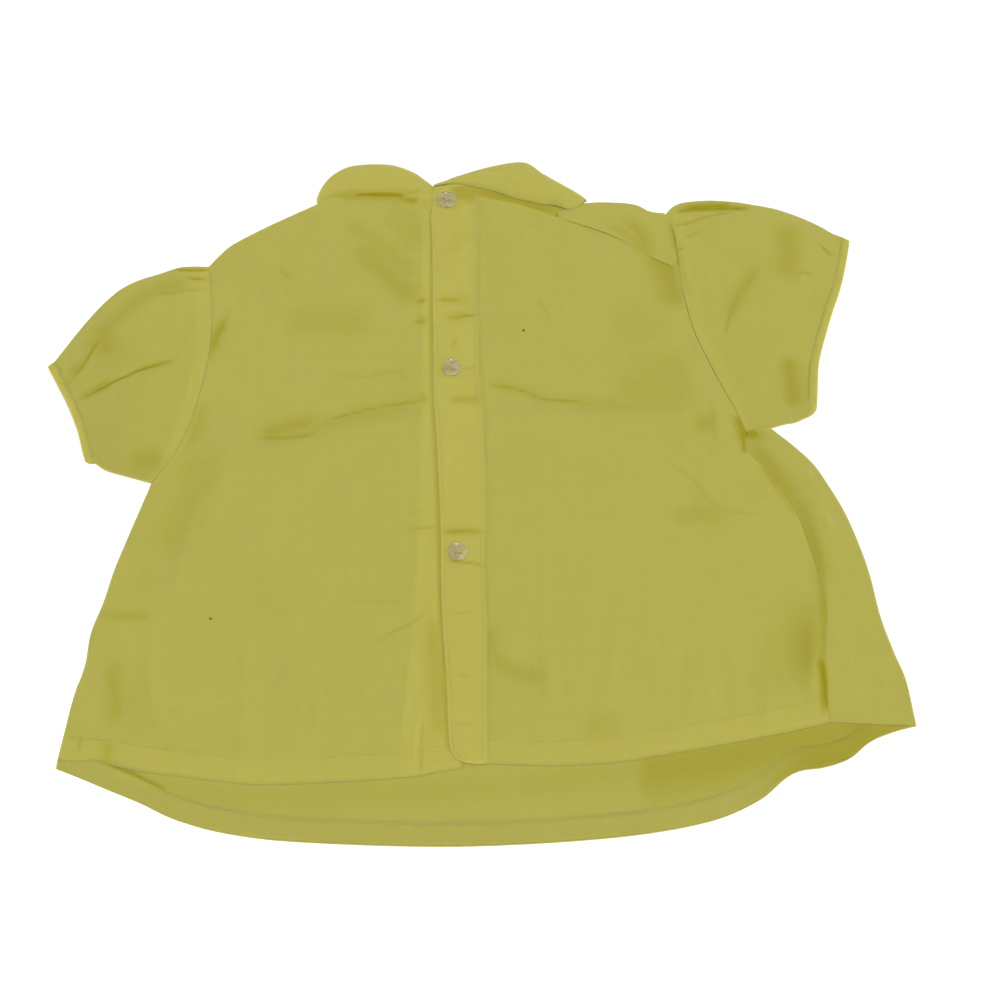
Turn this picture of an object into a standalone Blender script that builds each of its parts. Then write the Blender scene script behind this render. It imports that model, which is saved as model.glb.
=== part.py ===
"""A baby's smocked dress that buttons down the back, laid face down and flat.

+X is the wearer's right, +Y runs from hem to neck and +Z is up. The front lies on z = 0 and
the two backs lie on it. Every piece that is cut and sewn on is a closed wall of its own, and
neighbours stay GAP apart. Tables and sizes are in millimetres; MM turns them into metres.
"""
import math
from collections import namedtuple

import bmesh
import bpy
from mathutils import Vector

MM = 0.001

# Walls and levels
WALL = 1.0                       # one layer of cotton
BAND_WALL = 1.6                  # button band, two layers pressed flat
GAP = 0.3                        # clearance between neighbours
BACK_LEVEL = WALL + GAP          # underside of the backs
BAND_LEVEL = 2 * (WALL + GAP)    # underside of the button band
BUTTON_LEVEL = BAND_LEVEL + BAND_WALL + GAP

# Folds
SIDE_FOLD_RADIUS = 2.2           # front turned over along the right side
SHOULDER_FOLD_RADIUS = 2.0       # front rolled over the right shoulder
COLLAR_FOLD_RADIUS = 1.7
SLEEVE_EDGE_RADIUS = 1.4         # pressed edge of a flattened sleeve
ARC_STEPS = 4

# Sleeves and cuffs
SLEEVE_PUFF = 6.0                # height of the puff over the table
SLEEVE_COLUMNS = 12              # from edge to edge, on each side
SLEEVE_STATIONS = 12             # from cap to cuff
CAP_CLEARANCE = 0.8              # from the armhole seam to the sleeve's cap
CUFF_HEIGHT = 3.4
CUFF_WIDTH = 4.5
CUFF_GAP = 0.6                   # between the sleeve's outline and the cuff's, whose walls lean in

# Buttons
BUTTON_DIAMETER = 11.0
BUTTON_HEIGHT = 2.2
BUTTON_HOLE_DIAMETER = 1.3
BUTTON_HOLE_SPACING = 2.6
BUTTON_SIDES = 28
HOLE_SIDES = 10

# Rows and columns of the body's walls, which meet row to row along their seams
SIDE_ROWS = 12
ARMHOLE_ROWS = 9
UNDERARM = SIDE_ROWS / (SIDE_ROWS + ARMHOLE_ROWS)
ROLL_COLUMNS = 6
ROLL_START = 0.22                # where the roll of the right shoulder is wide enough to fold
FRONT_COLUMNS = 20
SHOULDER_COLUMNS = 6             # of those, along the left shoulder
BACK_COLUMNS = 14
BAND_ROWS = 22
BAND_COLUMNS = 4
TOP_SHARE = 0.4                  # of a back's upper edge, taken by the first of its two curves

# How far a back lies flat beside its seams, as a share of its width
SIDE_CALM = 0.12
BAND_CALM = 0.15
ROLL_CALM = 0.06
UNDERLAP_START, UNDERLAP_FADE = 0.58, 0.2

Mark = namedtuple("Mark", "x y")
Ridge = namedtuple("Ridge", "place x0 y0 x1 y1 half_width height")
CollarRow = namedtuple("CollarRow", "place seam_x seam_y fold_x fold_y edge_x edge_y")
Finish = namedtuple("Finish", "name colour roughness")

COTTON = Finish("cotton", (0.445, 0.420, 0.090), 0.85)
SHELL = Finish("shell_button", (0.55, 0.51, 0.33), 0.25)

# Outlines of the body, hem corner first, as (x, y)
SIDE_LEFT = ((-208, -143), (-203, -101), (-199, -79), (-193, -52), (-185, -22), (-175, 10))
ARMHOLE_LEFT = ((-175, 10), (-164, 26), (-156, 49), (-150.5, 79), (-150, 104), (-154, 141))
SHOULDER_LEFT = ((-154, 141), (-144, 153), (-127, 164), (-112, 173), (-99, 180))
NECK_BACK_LEFT = ((-99, 180), (-87, 185), (-62, 186.5), (-36, 188), (-14, 189))
NECK_FRONT = ((-99, 180), (-78, 166), (-38, 158), (2, 163), (28, 175))
FOLD_RIGHT = ((197, -121), (194, -98), (185, -64), (177, -26), (165, 7), (148, 31), (138, 40))
SEAM_RIGHT = ((158, -118), (156.5, -95), (159, -56), (153, -28), (141, 5), (130, 22), (125, 38))
ARMHOLE_RIGHT = ((125, 41), (114.5, 65), (104, 89), (97, 120), (94, 148), (88, 173))
SHOULDER_RIGHT = ((28, 175), (49, 181), (69, 180.5), (80, 176), (88, 173))
ROLL_SEAM = ((28, 175), (43, 168), (64, 159), (77, 149), (94, 140))
ARMHOLE_BACK_RIGHT = ((125, 38), (114, 65), (103.4, 89), (96.4, 120), (94, 140))
NECK_BACK_RIGHT = ((-11.2, 188), (10, 186.5), (27, 176.5))

HEM_FRONT = ((-208, -143), (-184, -153), (-152, -168), (-90, -179), (-20, -181), (60, -176),
             (105, -166), (132, -148), (165, -137), (184, -125), (197, -121))
HEM_BACK_LEFT = ((-206, -140), (-184, -140), (-158, -144), (-122, -149), (-70, -148),
                 (-37, -145), (-18.5, -142))
UNDERLAP_EDGE = ((-18.5, -142), (-14, -80), (-11, -20), (-12, 88), (-14, 189))
HEM_BACK_RIGHT = ((-5.4, -138), (25, -140), (55, -138), (96, -131.5), (129, -125), (157, -118),
                  (158, -118))

# Button band: folded edge to the left, stitched edge to the right, hem first
BAND_EDGE = ((-23, -134), (-26, -98), (-28.3, -55), (-29.5, -11), (-33, 46), (-34.3, 82),
             (-35.4, 132), (-36.5, 165), (-36, 189))
BAND_SEAM = ((-6, -138), (-6, -66), (-7, -33), (-7, 20), (-9.5, 88), (-11.5, 146), (-12, 189))
BAND_BOTTOM = -137.6

# Sleeves: cap seam ends, cuff ends and edges, with the sleeve's top towards the neck
SLEEVE_LEFT_TOP = ((-154.6, 141), (-171, 140), (-190, 132), (-206, 120), (-219, 100), (-230, 82))
SLEEVE_LEFT_UNDER = ((-177, 9.5), (-186, 12.5), (-198, 16.5), (-205, 23))
SLEEVE_LEFT_CUFF = ((-205, 23), (-211, 41), (-218, 57), (-224, 69), (-230, 82))
SLEEVE_RIGHT_TOP = ((88.6, 174.5), (98, 181), (112, 183), (135, 181), (156, 175), (171, 166.5),
                    (182, 157))
SLEEVE_RIGHT_UNDER = ((126, 42), (138, 42), (148, 45), (156, 49))
SLEEVE_RIGHT_CUFF = ((156, 49), (158.5, 67), (162, 88), (169, 112), (177, 138), (182, 157))

# The sleeves' cap seams, clear of the armholes
CAP_LEFT = [(x - CAP_CLEARANCE, y) for x, y in ARMHOLE_LEFT[1:-1]]
CAP_RIGHT = [(x + CAP_CLEARANCE, y + CAP_CLEARANCE / 2) for x, y in ARMHOLE_RIGHT[1:-1]]

# Largest creases of the sleeves' upper sides; a crease has a height below zero
SLEEVE_FOLDS = {
    "left": (
        Ridge("trough inside the top edge", -176, 124, -206, 98, 6, -1.5),
        Ridge("crease to the cuff", -208, 94, -222, 70, 5, -1.2),
        Ridge("long crease above the under edge", -214, 59, -172, 83, 5, -1.1),
        Ridge("puff between the creases", -172, 104, -202, 76, 11, 1.2),
    ),
    "right": (
        Ridge("trough across the cap", 100, 150, 140, 118, 7, -1.3),
        Ridge("pleat inside the top edge", 100, 171, 128, 170, 5, -1.0),
        Ridge("crease above the cuff", 146, 98, 158, 66, 5, -1.2),
        Ridge("puff below the top edge", 128, 156, 164, 138, 11, 1.2),
    ),
}

# Largest soft folds of the backs
RIDGES = (
    Ridge("roll beside the right side seam", 112, 14, 146, -112, 13, 3.6),
    Ridge("fold across the left back", -119, 37, -62, 53, 12, 1.2),
    Ridge("fold across the right back", 18, 66, 92, 53, 12, 1.2),
    Ridge("below the left armhole", -163, 4, -160, -52, 13, 2.2),
    Ridge("outer drape of the left back", -183, -62, -188, -132, 13, 2.6),
    Ridge("middle drape of the left back", -112, -74, -104, -138, 16, 1.8),
    Ridge("drape of the right back", 58, -62, 74, -126, 18, 1.8),
)

COLLAR_RIGHT = (
    CollarRow("centre back", -33, 190.0, -33, 194.5, -31, 191.0),
    CollarRow("past the button", -21, 190.0, -21, 199.0, -19, 193.5),
    CollarRow("first quarter", -8, 189.0, -8, 204.0, -5, 188.5),
    CollarRow("middle", 6, 188.5, 6, 207.5, 9, 183.5),
    CollarRow("crest", 15, 187.8, 16, 206.5, 21, 180.0),
    CollarRow("past the crest", 24, 185.0, 27, 196.5, 29, 178.5),
    CollarRow("shoulder", 33, 183.8, 38, 189.5, 37.5, 176.0),
    CollarRow("rounded end", 41, 183.4, 47, 184.8, 44, 179.5),
)

COLLAR_LEFT = (
    CollarRow("shoulder", -98, 182.0, -98, 188.5, -98, 188.5),
    CollarRow("first quarter", -89, 185.4, -91, 197.5, -91, 197.5),
    CollarRow("crest", -75, 187.2, -77, 206.0, -77, 206.0),
    CollarRow("middle", -62, 187.4, -61, 207.0, -61, 207.0),
    CollarRow("past the middle", -50, 188.0, -48, 202.5, -48, 202.5),
    CollarRow("centre back", -38, 188.8, -38, 193.5, -38, 193.5),
)
COLLAR_LEFT_CREST = 6.5          # height of the turned-up collar over the table
COLLAR_LEFT_DEPTH = 19.0         # from the neck seam to the free edge, where it is deepest

BUTTONS = {
    "button_top": Mark(-28.6, 179.8),
    "button_middle": Mark(-24.8, 74.3),
    "button_bottom": Mark(-20.7, -31.5),
}


def clear_scene():
    for item in list(bpy.data.objects):
        bpy.data.objects.remove(item, do_unlink=True)


def material(finish):
    """The Principled material that the finish names."""
    made = bpy.data.materials.new(finish.name)
    made.use_nodes = True
    shader = made.node_tree.nodes["Principled BSDF"]
    shader.inputs["Base Color"].default_value = (*finish.colour, 1)
    shader.inputs["Roughness"].default_value = finish.roughness
    shader.inputs["Metallic"].default_value = 0
    return made


def spline(points):
    """A smooth curve through the points, as a function of the share of its length."""
    points = [Vector(point) for point in points]
    ends = [2 * points[0] - points[1]] + points + [2 * points[-1] - points[-2]]
    samples = []
    steps = 12
    for before, start, end, after in zip(ends, ends[1:], ends[2:], ends[3:]):
        for step in range(steps):
            t = step / steps
            samples.append(0.5 * (2 * start + (end - before) * t
                                  + (2 * before - 5 * start + 4 * end - after) * t * t
                                  + (3 * start - before - 3 * end + after) * t ** 3))
    samples.append(points[-1])
    run = [0.0]
    for start, end in zip(samples, samples[1:]):
        run.append(run[-1] + (end - start).length)

    def at(share):
        reach = min(max(share, 0.0), 1.0) * run[-1]
        index = 0
        while index < len(run) - 2 and run[index + 1] < reach:
            index += 1
        part = (reach - run[index]) / (run[index + 1] - run[index])
        return samples[index].lerp(samples[index + 1], part)

    return at


def joined(first, second, share):
    """Two curves end to end, the first one taking the given share of the way."""

    def at(t):
        if t <= share:
            return first(t / share)
        return second((t - share) / (1 - share))

    return at


def patch(under, over, left, right):
    """A surface point between four edge curves, which meet at their corners."""

    def at(u, v):
        ruled = under(u) * (1 - v) + over(u) * v + left(v) * (1 - u) + right(v) * u
        corners = (under(0) * (1 - u) + under(1) * u) * (1 - v) + (over(0) * (1 - u) + over(1) * u) * v
        return ruled - corners

    return at


def even(count, start=0.0, end=1.0):
    """Evenly spaced shares, both ends included."""
    return [start + (end - start) * step / count for step in range(count + 1)]


def roll_shares():
    """Where the rolled shoulder's columns stand along it."""
    return even(ROLL_COLUMNS, ROLL_START)


def ease(t):
    t = min(max(t, 0.0), 1.0)
    return t * t * (3 - 2 * t)


def ridge_height(ridges, x, y):
    """How far a table of soft folds lifts the cloth at a place."""
    total = 0.0
    for ridge in ridges:
        start = Vector((ridge.x0, ridge.y0))
        run = Vector((ridge.x1, ridge.y1)) - start
        share = (Vector((x, y)) - start).dot(run) / run.length_squared
        nearest = start + run * min(max(share, 0.0), 1.0)
        distance = (Vector((x, y)) - nearest).length / ridge.half_width
        total += ridge.height * math.exp(-distance * distance)
    return total


def grid_faces(mesh, rows, closed=False):
    """Quads between rows of points; closed joins the last point of a row to its first."""
    vertices = [[mesh.verts.new(Vector(point) * MM) for point in row] for row in rows]
    for row, above in zip(vertices, vertices[1:]):
        count = len(row)
        last = count if closed else count - 1
        for index in range(last):
            after = (index + 1) % count
            mesh.faces.new((row[index], row[after], above[after], above[index]))


def cloth(name, grids, thickness, finish, closed=False):
    """A wall whose outer face is the given grids, thickened inwards."""
    mesh = bmesh.new()
    for rows in grids:
        grid_faces(mesh, rows, closed)
    bmesh.ops.remove_doubles(mesh, verts=mesh.verts, dist=0.02 * MM)
    data = bpy.data.meshes.new(name)
    mesh.to_mesh(data)
    mesh.free()
    data.materials.append(finish)
    data.shade_smooth()
    piece = bpy.data.objects.new(name, data)
    bpy.context.scene.collection.objects.link(piece)
    wall = piece.modifiers.new("wall", "SOLIDIFY")
    wall.thickness = thickness * MM
    wall.offset = -1
    wall.use_rim = True


def turned_over(fold, seam, radius, seam_top, steps):
    """Points from under a fold, round it and back over to a seam."""
    inward = (seam - fold).normalized()
    centre = fold + inward * radius
    points = []
    for step in range(ARC_STEPS + 1):
        angle = math.pi * (step / ARC_STEPS - 0.5)
        place = centre - inward * radius * math.cos(angle)
        points.append((place.x, place.y, radius * (1 + math.sin(angle))))
    end = seam - inward * GAP
    for step in range(1, steps + 1):
        share = step / steps
        place = centre.lerp(end, share)
        height = 2 * radius + (seam_top - 2 * radius) * ease(share)
        points.append((place.x, place.y, height))
    return points


def build_front(finish):
    """The smocked front: flat on the table, turned over at the right side and shoulder."""
    columns = FRONT_COLUMNS
    seam_top = BACK_LEVEL + WALL
    fold, seam = spline(FOLD_RIGHT), spline(SEAM_RIGHT)
    roll_fold, roll_seam = spline(SHOULDER_RIGHT), spline(ROLL_SEAM)

    def side_flap(t):
        return turned_over(fold(t), seam(t), SIDE_FOLD_RADIUS, seam_top, 4)

    def shoulder_flap(t):
        return turned_over(roll_fold(t), roll_seam(t), SHOULDER_FOLD_RADIUS, seam_top, 3)

    flaps = [shoulder_flap(share) for share in roll_shares()]
    sides = [side_flap(share) for share in even(SIDE_ROWS)]

    right_points = [Vector(row[0][:2]) for row in sides]
    armhole = spline(ARMHOLE_RIGHT)
    tip = Vector(flaps[-1][0][:2])
    right_points += [armhole(share) for share in even(ARMHOLE_ROWS)[:-1]] + [tip]

    rows = SIDE_ROWS + ARMHOLE_ROWS + 1
    left_side, left_arm = spline(SIDE_LEFT), spline(ARMHOLE_LEFT)
    left_points = [left_side(share) for share in even(SIDE_ROWS)]
    left_points += [left_arm(share) for share in even(ARMHOLE_ROWS + 1)[1:]]

    shoulder_left, neck = spline(SHOULDER_LEFT), spline(NECK_FRONT)
    neck_columns = columns - SHOULDER_COLUMNS - ROLL_COLUMNS
    top_points = [shoulder_left(step / SHOULDER_COLUMNS) for step in range(SHOULDER_COLUMNS + 1)]
    for step in range(1, neck_columns):
        top_points.append(neck(step / neck_columns))
    top_points += [Vector(row[0][:2]) for row in flaps]

    hem = spline(HEM_FRONT)
    hem_points = [hem(step / columns) for step in range(columns + 1)]
    hem_points[-1] = right_points[0]

    def pick(points):
        return lambda share: points[round(share * (len(points) - 1))]

    surface = patch(pick(hem_points), pick(top_points), pick(left_points), pick(right_points))
    flat = []
    for row in range(rows + 1):
        line = []
        for column in range(columns + 1):
            place = surface(column / columns, row / rows)
            line.append((place.x, place.y, 0.0))
        flat.append(line[::-1])
    side_grid = [row[::-1] for row in sides]
    cloth("front", (flat, side_grid, flaps), WALL, finish)


def back_grid(surface, columns, level):
    """Rows of points on a back's upper face."""
    grid = []
    for v in even(SIDE_ROWS + ARMHOLE_ROWS):
        line = []
        for u in columns:
            place = surface(u, v)
            line.append((place.x, place.y, level(u, place) + WALL))
        grid.append(line)
    return grid


def build_back_left(finish):
    """The under back; its right edge is the underlap below the button band."""
    neck = joined(spline(SHOULDER_LEFT), spline(NECK_BACK_LEFT), TOP_SHARE)
    side = joined(spline((HEM_BACK_LEFT[0],) + SIDE_LEFT[1:]), spline(ARMHOLE_LEFT), UNDERARM)
    surface = patch(spline(HEM_BACK_LEFT), neck, side, spline(UNDERLAP_EDGE))

    def level(u, place):
        free = ease(u / SIDE_CALM) * ease((UNDERLAP_START + UNDERLAP_FADE - u) / UNDERLAP_FADE)
        return BACK_LEVEL + ridge_height(RIDGES, place.x, place.y) * free

    cloth("back_left", (back_grid(surface, even(BACK_COLUMNS), level),), WALL, finish)


def build_back_right(finish):
    """The upper back, from the button band's seam to the right side seam."""
    neck = joined(spline(NECK_BACK_RIGHT), spline(ROLL_SEAM), TOP_SHARE)
    side = joined(spline(SEAM_RIGHT), spline(ARMHOLE_BACK_RIGHT), UNDERARM)
    band = spline([(x + 2 * GAP, y) for x, y in BAND_SEAM[:-1]] + [NECK_BACK_RIGHT[0]])
    surface = patch(spline(HEM_BACK_RIGHT), neck, band, side)

    def level(u, place):
        step_down = (BAND_LEVEL - BACK_LEVEL) * (1 - ease(u / BAND_CALM))
        free = ease(u / BAND_CALM) * ease((1 - u) / ROLL_CALM)
        return BACK_LEVEL + step_down + ridge_height(RIDGES, place.x, place.y) * free

    columns = even(BACK_COLUMNS - ROLL_COLUMNS - 2, 0.0, TOP_SHARE)
    columns += [TOP_SHARE + (1 - TOP_SHARE) * share for share in roll_shares()]
    cloth("back_right", (back_grid(surface, columns, level),), WALL, finish)


def build_button_band(finish):
    """The folded band that carries the buttonholes, with its lower corner rounded off."""
    edge, seam = spline(BAND_EDGE), spline(BAND_SEAM)
    level = BAND_LEVEL + BAND_WALL
    rows = []
    for share in even(BAND_ROWS):
        start, end = edge(share), seam(share)
        places = [start.lerp(end, step / BAND_COLUMNS) for step in range(BAND_COLUMNS + 1)]
        rows.append([(place.x, place.y, level) for place in places])
    first, second, *others = rows[0]
    lowest = [(first[0] + 1.5, first[1] - 1.8, level), (first[0] + 3.5, first[1] - 2.5, level)]
    lowest += [(x, BAND_BOTTOM, level) for x, _, _ in others]
    rows.insert(0, lowest)
    cloth("button_band", (rows,), BAND_WALL, finish)


def flat_tube(name, surface, shares, height, finish, folds=()):
    """A flattened, open tube; surface(u, v) runs from one end (u) and from edge to edge (v)."""
    across = SLEEVE_COLUMNS
    rows = []
    for share in shares:
        width = (surface(share, 1) - surface(share, 0)).length
        inset = SLEEVE_EDGE_RADIUS / width
        row = []
        for step in range(across + 1):
            v = inset + (1 - 2 * inset) * step / across
            row.append((v, 0.0))
        for step in range(1, ARC_STEPS):
            angle = math.pi * (step / ARC_STEPS - 0.5)
            row.append((1 - inset * (1 - math.cos(angle)), SLEEVE_EDGE_RADIUS * (1 + math.sin(angle))))
        for step in range(across + 1):
            v = 1 - inset - (1 - 2 * inset) * step / across
            crown = math.sin(math.pi * v) ** 0.8
            place = surface(share, v)
            lift = height(share) - 2 * SLEEVE_EDGE_RADIUS + ridge_height(folds, place.x, place.y)
            row.append((v, 2 * SLEEVE_EDGE_RADIUS + max(lift * crown, 0.0)))
        for step in range(1, ARC_STEPS):
            angle = math.pi * (0.5 - step / ARC_STEPS)
            row.append((inset * (1 - math.cos(angle)), SLEEVE_EDGE_RADIUS * (1 + math.sin(angle))))
        line = []
        for v, z in row:
            place = surface(share, v)
            line.append((place.x, place.y, z))
        rows.append(line[::-1])
    return cloth(name, (rows,), WALL, finish, closed=True)


def shifted(points, away, distance):
    """A line of points moved sideways, away from a place."""
    moved = []
    count = len(points)
    for index in range(count):
        before = Vector(points[max(index - 1, 0)])
        after = Vector(points[min(index + 1, count - 1)])
        run = (after - before).normalized()
        normal = Vector((run.y, -run.x))
        here = Vector(points[index])
        if normal.dot(here - Vector(away)) < 0:
            normal = -normal
        moved.append(here + normal * distance)
    return moved


def build_sleeve(side, armhole, top, under, cuff, finish):
    """A puff sleeve and its narrow cuff, both flattened tubes."""
    cap = spline([under[0]] + list(armhole) + [top[0]])
    surface = patch(spline(under), spline(top), cap, spline(cuff))

    def height(share):
        rise = ease(share / 0.35) * ease((1 - share) / 0.3)
        return CUFF_HEIGHT + (SLEEVE_PUFF - CUFF_HEIGHT) * rise

    middle = surface(0.5, 0.5)
    start = shifted(cuff, middle, CUFF_GAP)
    end = shifted(cuff, middle, CUFF_WIDTH)
    turned = side == "right"
    binding = patch(spline((start[0], end[0])), spline((start[-1], end[-1])), spline(start), spline(end))

    def flipped(patch_at):
        return (lambda u, v: patch_at(u, 1 - v)) if turned else patch_at

    flat_tube("sleeve_" + side, flipped(surface), even(SLEEVE_STATIONS), height, finish,
              SLEEVE_FOLDS[side])
    flat_tube("cuff_" + side, flipped(binding), even(2), lambda share: CUFF_HEIGHT, finish)


def collar_curves(table):
    seam = spline([(row.seam_x, row.seam_y) for row in table])
    fold = spline([(row.fold_x, row.fold_y) for row in table])
    edge = spline([(row.edge_x, row.edge_y) for row in table])
    return seam, fold, edge


def build_collar_right(finish):
    """The right half of the collar: a stand, a fold at the top and the fall over the back."""
    seam, fold, edge = collar_curves(COLLAR_RIGHT)
    stations = 14
    rows = []
    fall_under = 2 * COLLAR_FOLD_RADIUS + BAND_LEVEL + BAND_WALL - 2 * WALL
    for step in range(stations + 1):
        share = step / stations
        low, crest, free = seam(share), fold(share), edge(share)
        inward = (free - crest).normalized()
        centre = crest + inward * COLLAR_FOLD_RADIUS
        base = fall_under + WALL - 2 * COLLAR_FOLD_RADIUS
        line = [(low.x, low.y, 1.2), ((low.x + centre.x) / 2, (low.y + centre.y) / 2, base / 2 + 0.6)]
        for turn in range(ARC_STEPS + 1):
            angle = math.pi * (turn / ARC_STEPS - 0.5)
            place = centre - inward * COLLAR_FOLD_RADIUS * math.cos(angle)
            line.append((place.x, place.y, base + COLLAR_FOLD_RADIUS * (1 + math.sin(angle))))
        for turn in range(1, 4):
            place = centre.lerp(free, turn / 3)
            line.append((place.x, place.y, fall_under + WALL - 0.2 * turn))
        rows.append(line[::-1])
    cloth("collar_right", (rows,), WALL, finish)


def build_collar_left(finish):
    """The left half of the collar, turned up so that it arches away from the neck seam."""
    seam, _, edge = collar_curves(COLLAR_LEFT)
    stations, across = 12, 7
    rows = []
    for step in range(stations + 1):
        share = step / stations
        low, far = seam(share), edge(share)
        rise = COLLAR_LEFT_CREST * min((far - low).length / COLLAR_LEFT_DEPTH, 1) - BACK_LEVEL
        line = []
        for turn in range(across + 1):
            part = turn / across
            place = low.lerp(far, part)
            arch = math.sin(math.pi * min(part / 1.16, 1)) ** 0.8
            line.append((place.x, place.y, BACK_LEVEL + WALL * 0.4 + max(rise, 1.0) * arch))
        rows.append(line[::-1])
    cloth("collar_left", (rows[::-1],), WALL, finish)


def button_mesh(finish):
    """A round button with a raised rim, standing on z = 0."""
    radius = BUTTON_DIAMETER / 2
    profile = ((0.0, 0.0), (radius * 0.72, 0.0), (radius * 0.94, 0.35 * BUTTON_HEIGHT),
               (radius, 0.6 * BUTTON_HEIGHT), (radius * 0.95, 0.92 * BUTTON_HEIGHT),
               (radius * 0.84, BUTTON_HEIGHT), (radius * 0.7, 0.86 * BUTTON_HEIGHT),
               (radius * 0.55, 0.72 * BUTTON_HEIGHT), (0.0, 0.66 * BUTTON_HEIGHT))
    mesh = bmesh.new()
    rings = []
    for reach, height in profile[1:-1]:
        ring = []
        for side in range(BUTTON_SIDES):
            angle = 2 * math.pi * side / BUTTON_SIDES
            place = Vector((reach * math.cos(angle), reach * math.sin(angle), height))
            ring.append(mesh.verts.new(place * MM))
        rings.append(ring)
    for ring, above in zip(rings, rings[1:]):
        for side in range(BUTTON_SIDES):
            after = (side + 1) % BUTTON_SIDES
            mesh.faces.new((ring[side], ring[after], above[after], above[side]))
    mesh.faces.new(rings[0][::-1])
    mesh.faces.new(rings[-1])
    data = bpy.data.meshes.new("button")
    mesh.to_mesh(data)
    mesh.free()
    data.materials.append(finish)
    data.shade_smooth()
    data.set_sharp_from_angle(angle=math.radians(40))
    return data


def hole_cutter():
    """Four thin rods, one for each thread hole."""
    mesh = bmesh.new()
    reach = BUTTON_HOLE_SPACING / 2
    for x, y in ((-reach, -reach), (reach, -reach), (reach, reach), (-reach, reach)):
        made = bmesh.ops.create_cone(mesh, cap_ends=True, segments=HOLE_SIDES,
                                     radius1=BUTTON_HOLE_DIAMETER / 2 * MM,
                                     radius2=BUTTON_HOLE_DIAMETER / 2 * MM, depth=3 * BUTTON_HEIGHT * MM)
        bmesh.ops.translate(mesh, verts=made["verts"], vec=Vector((x, y, BUTTON_HEIGHT / 2)) * MM)
    data = bpy.data.meshes.new("thread_holes")
    mesh.to_mesh(data)
    mesh.free()
    return data


def build_buttons(finish):
    """Three buttons on the band, each with its thread holes cut by its own rods."""
    body, rods = button_mesh(finish), hole_cutter()
    for name, mark in BUTTONS.items():
        place = Vector((mark.x, mark.y, BUTTON_LEVEL)) * MM
        cutter = bpy.data.objects.new(name + "_holes", rods)
        cutter.location = place
        cutter.hide_render = True
        cutter.display_type = "WIRE"
        button = bpy.data.objects.new(name, body)
        button.location = place
        for item in (button, cutter):
            bpy.context.scene.collection.objects.link(item)
        cut = button.modifiers.new("thread_holes", "BOOLEAN")
        cut.operation = "DIFFERENCE"
        cut.object = cutter


def main():
    clear_scene()
    cotton, shell = material(COTTON), material(SHELL)
    build_front(cotton)
    build_back_left(cotton)
    build_back_right(cotton)
    build_button_band(cotton)
    build_sleeve("left", CAP_LEFT, SLEEVE_LEFT_TOP, SLEEVE_LEFT_UNDER, SLEEVE_LEFT_CUFF, cotton)
    build_sleeve("right", CAP_RIGHT, SLEEVE_RIGHT_TOP, SLEEVE_RIGHT_UNDER, SLEEVE_RIGHT_CUFF, cotton)
    build_collar_left(cotton)
    build_collar_right(cotton)
    build_buttons(shell)


main()
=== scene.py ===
"""A baby's cotton dress that buttons down the back, laid face down and flat.

+X is the wearer's right, +Y runs from hem to neck and +Z is up. The front lies on the floor, with
its smocking left plain because that side is hidden. The two backs, the button band, the puff
sleeves and the collar lie on it. Places and sizes are in millimetres, and MM turns them into
metres as a mesh is made.
"""
import logging
import math
from dataclasses import dataclass
from enum import Enum
from typing import Any, Callable, ClassVar, Iterable, Sequence

import bmesh
import bpy
import numpy as np
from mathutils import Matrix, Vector, noise
from mathutils.bvhtree import BVHTree


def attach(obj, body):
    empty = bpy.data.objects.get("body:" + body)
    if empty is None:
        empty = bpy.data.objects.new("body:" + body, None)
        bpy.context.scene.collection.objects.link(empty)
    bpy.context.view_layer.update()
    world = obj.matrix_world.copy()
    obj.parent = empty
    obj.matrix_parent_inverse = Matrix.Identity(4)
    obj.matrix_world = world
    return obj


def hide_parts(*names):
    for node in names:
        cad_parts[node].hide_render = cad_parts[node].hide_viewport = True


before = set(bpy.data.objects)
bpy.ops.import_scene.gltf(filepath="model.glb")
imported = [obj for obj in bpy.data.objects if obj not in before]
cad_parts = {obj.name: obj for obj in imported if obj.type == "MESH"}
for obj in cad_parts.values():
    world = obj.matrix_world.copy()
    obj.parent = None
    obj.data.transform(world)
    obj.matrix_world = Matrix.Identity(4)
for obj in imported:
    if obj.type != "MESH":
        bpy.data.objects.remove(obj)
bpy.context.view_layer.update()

MM = 0.001
ROOT = "root"
WEAVE_MAP = "weave"
PLIES = "plies"
# The mesh attribute of painted shade: how far the colour is deepened in creases, gaps and hollows.
PAINTED_SHADE = "crease_shade"

LOG = logging.getLogger("smocked_dress")

# Short names for the types that the pieces are made of. A place has its x and its y, and a
# profile has a value for each of its places.
Array = np.ndarray
Piece = bpy.types.Object
Finish = bpy.types.Material
Socket = bpy.types.NodeSocket
Colour = tuple[float, float, float]
Places = Sequence[tuple[float, float]]
Profile = tuple[tuple[float, float], ...]
Line = Callable[[Array], Array]


# ---------------------------------------------------------------- lines and patches

def ease(share: Array | float) -> Array:
    """A smooth rise from 0 to 1 as the share goes from 0 to 1.

    Args:
        share: Where along the rise, which is held between 0 and 1.

    Returns:
        The height of the rise there.
    """
    held = np.clip(share, 0.0, 1.0)
    return held * held * (3 - 2 * held)


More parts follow.
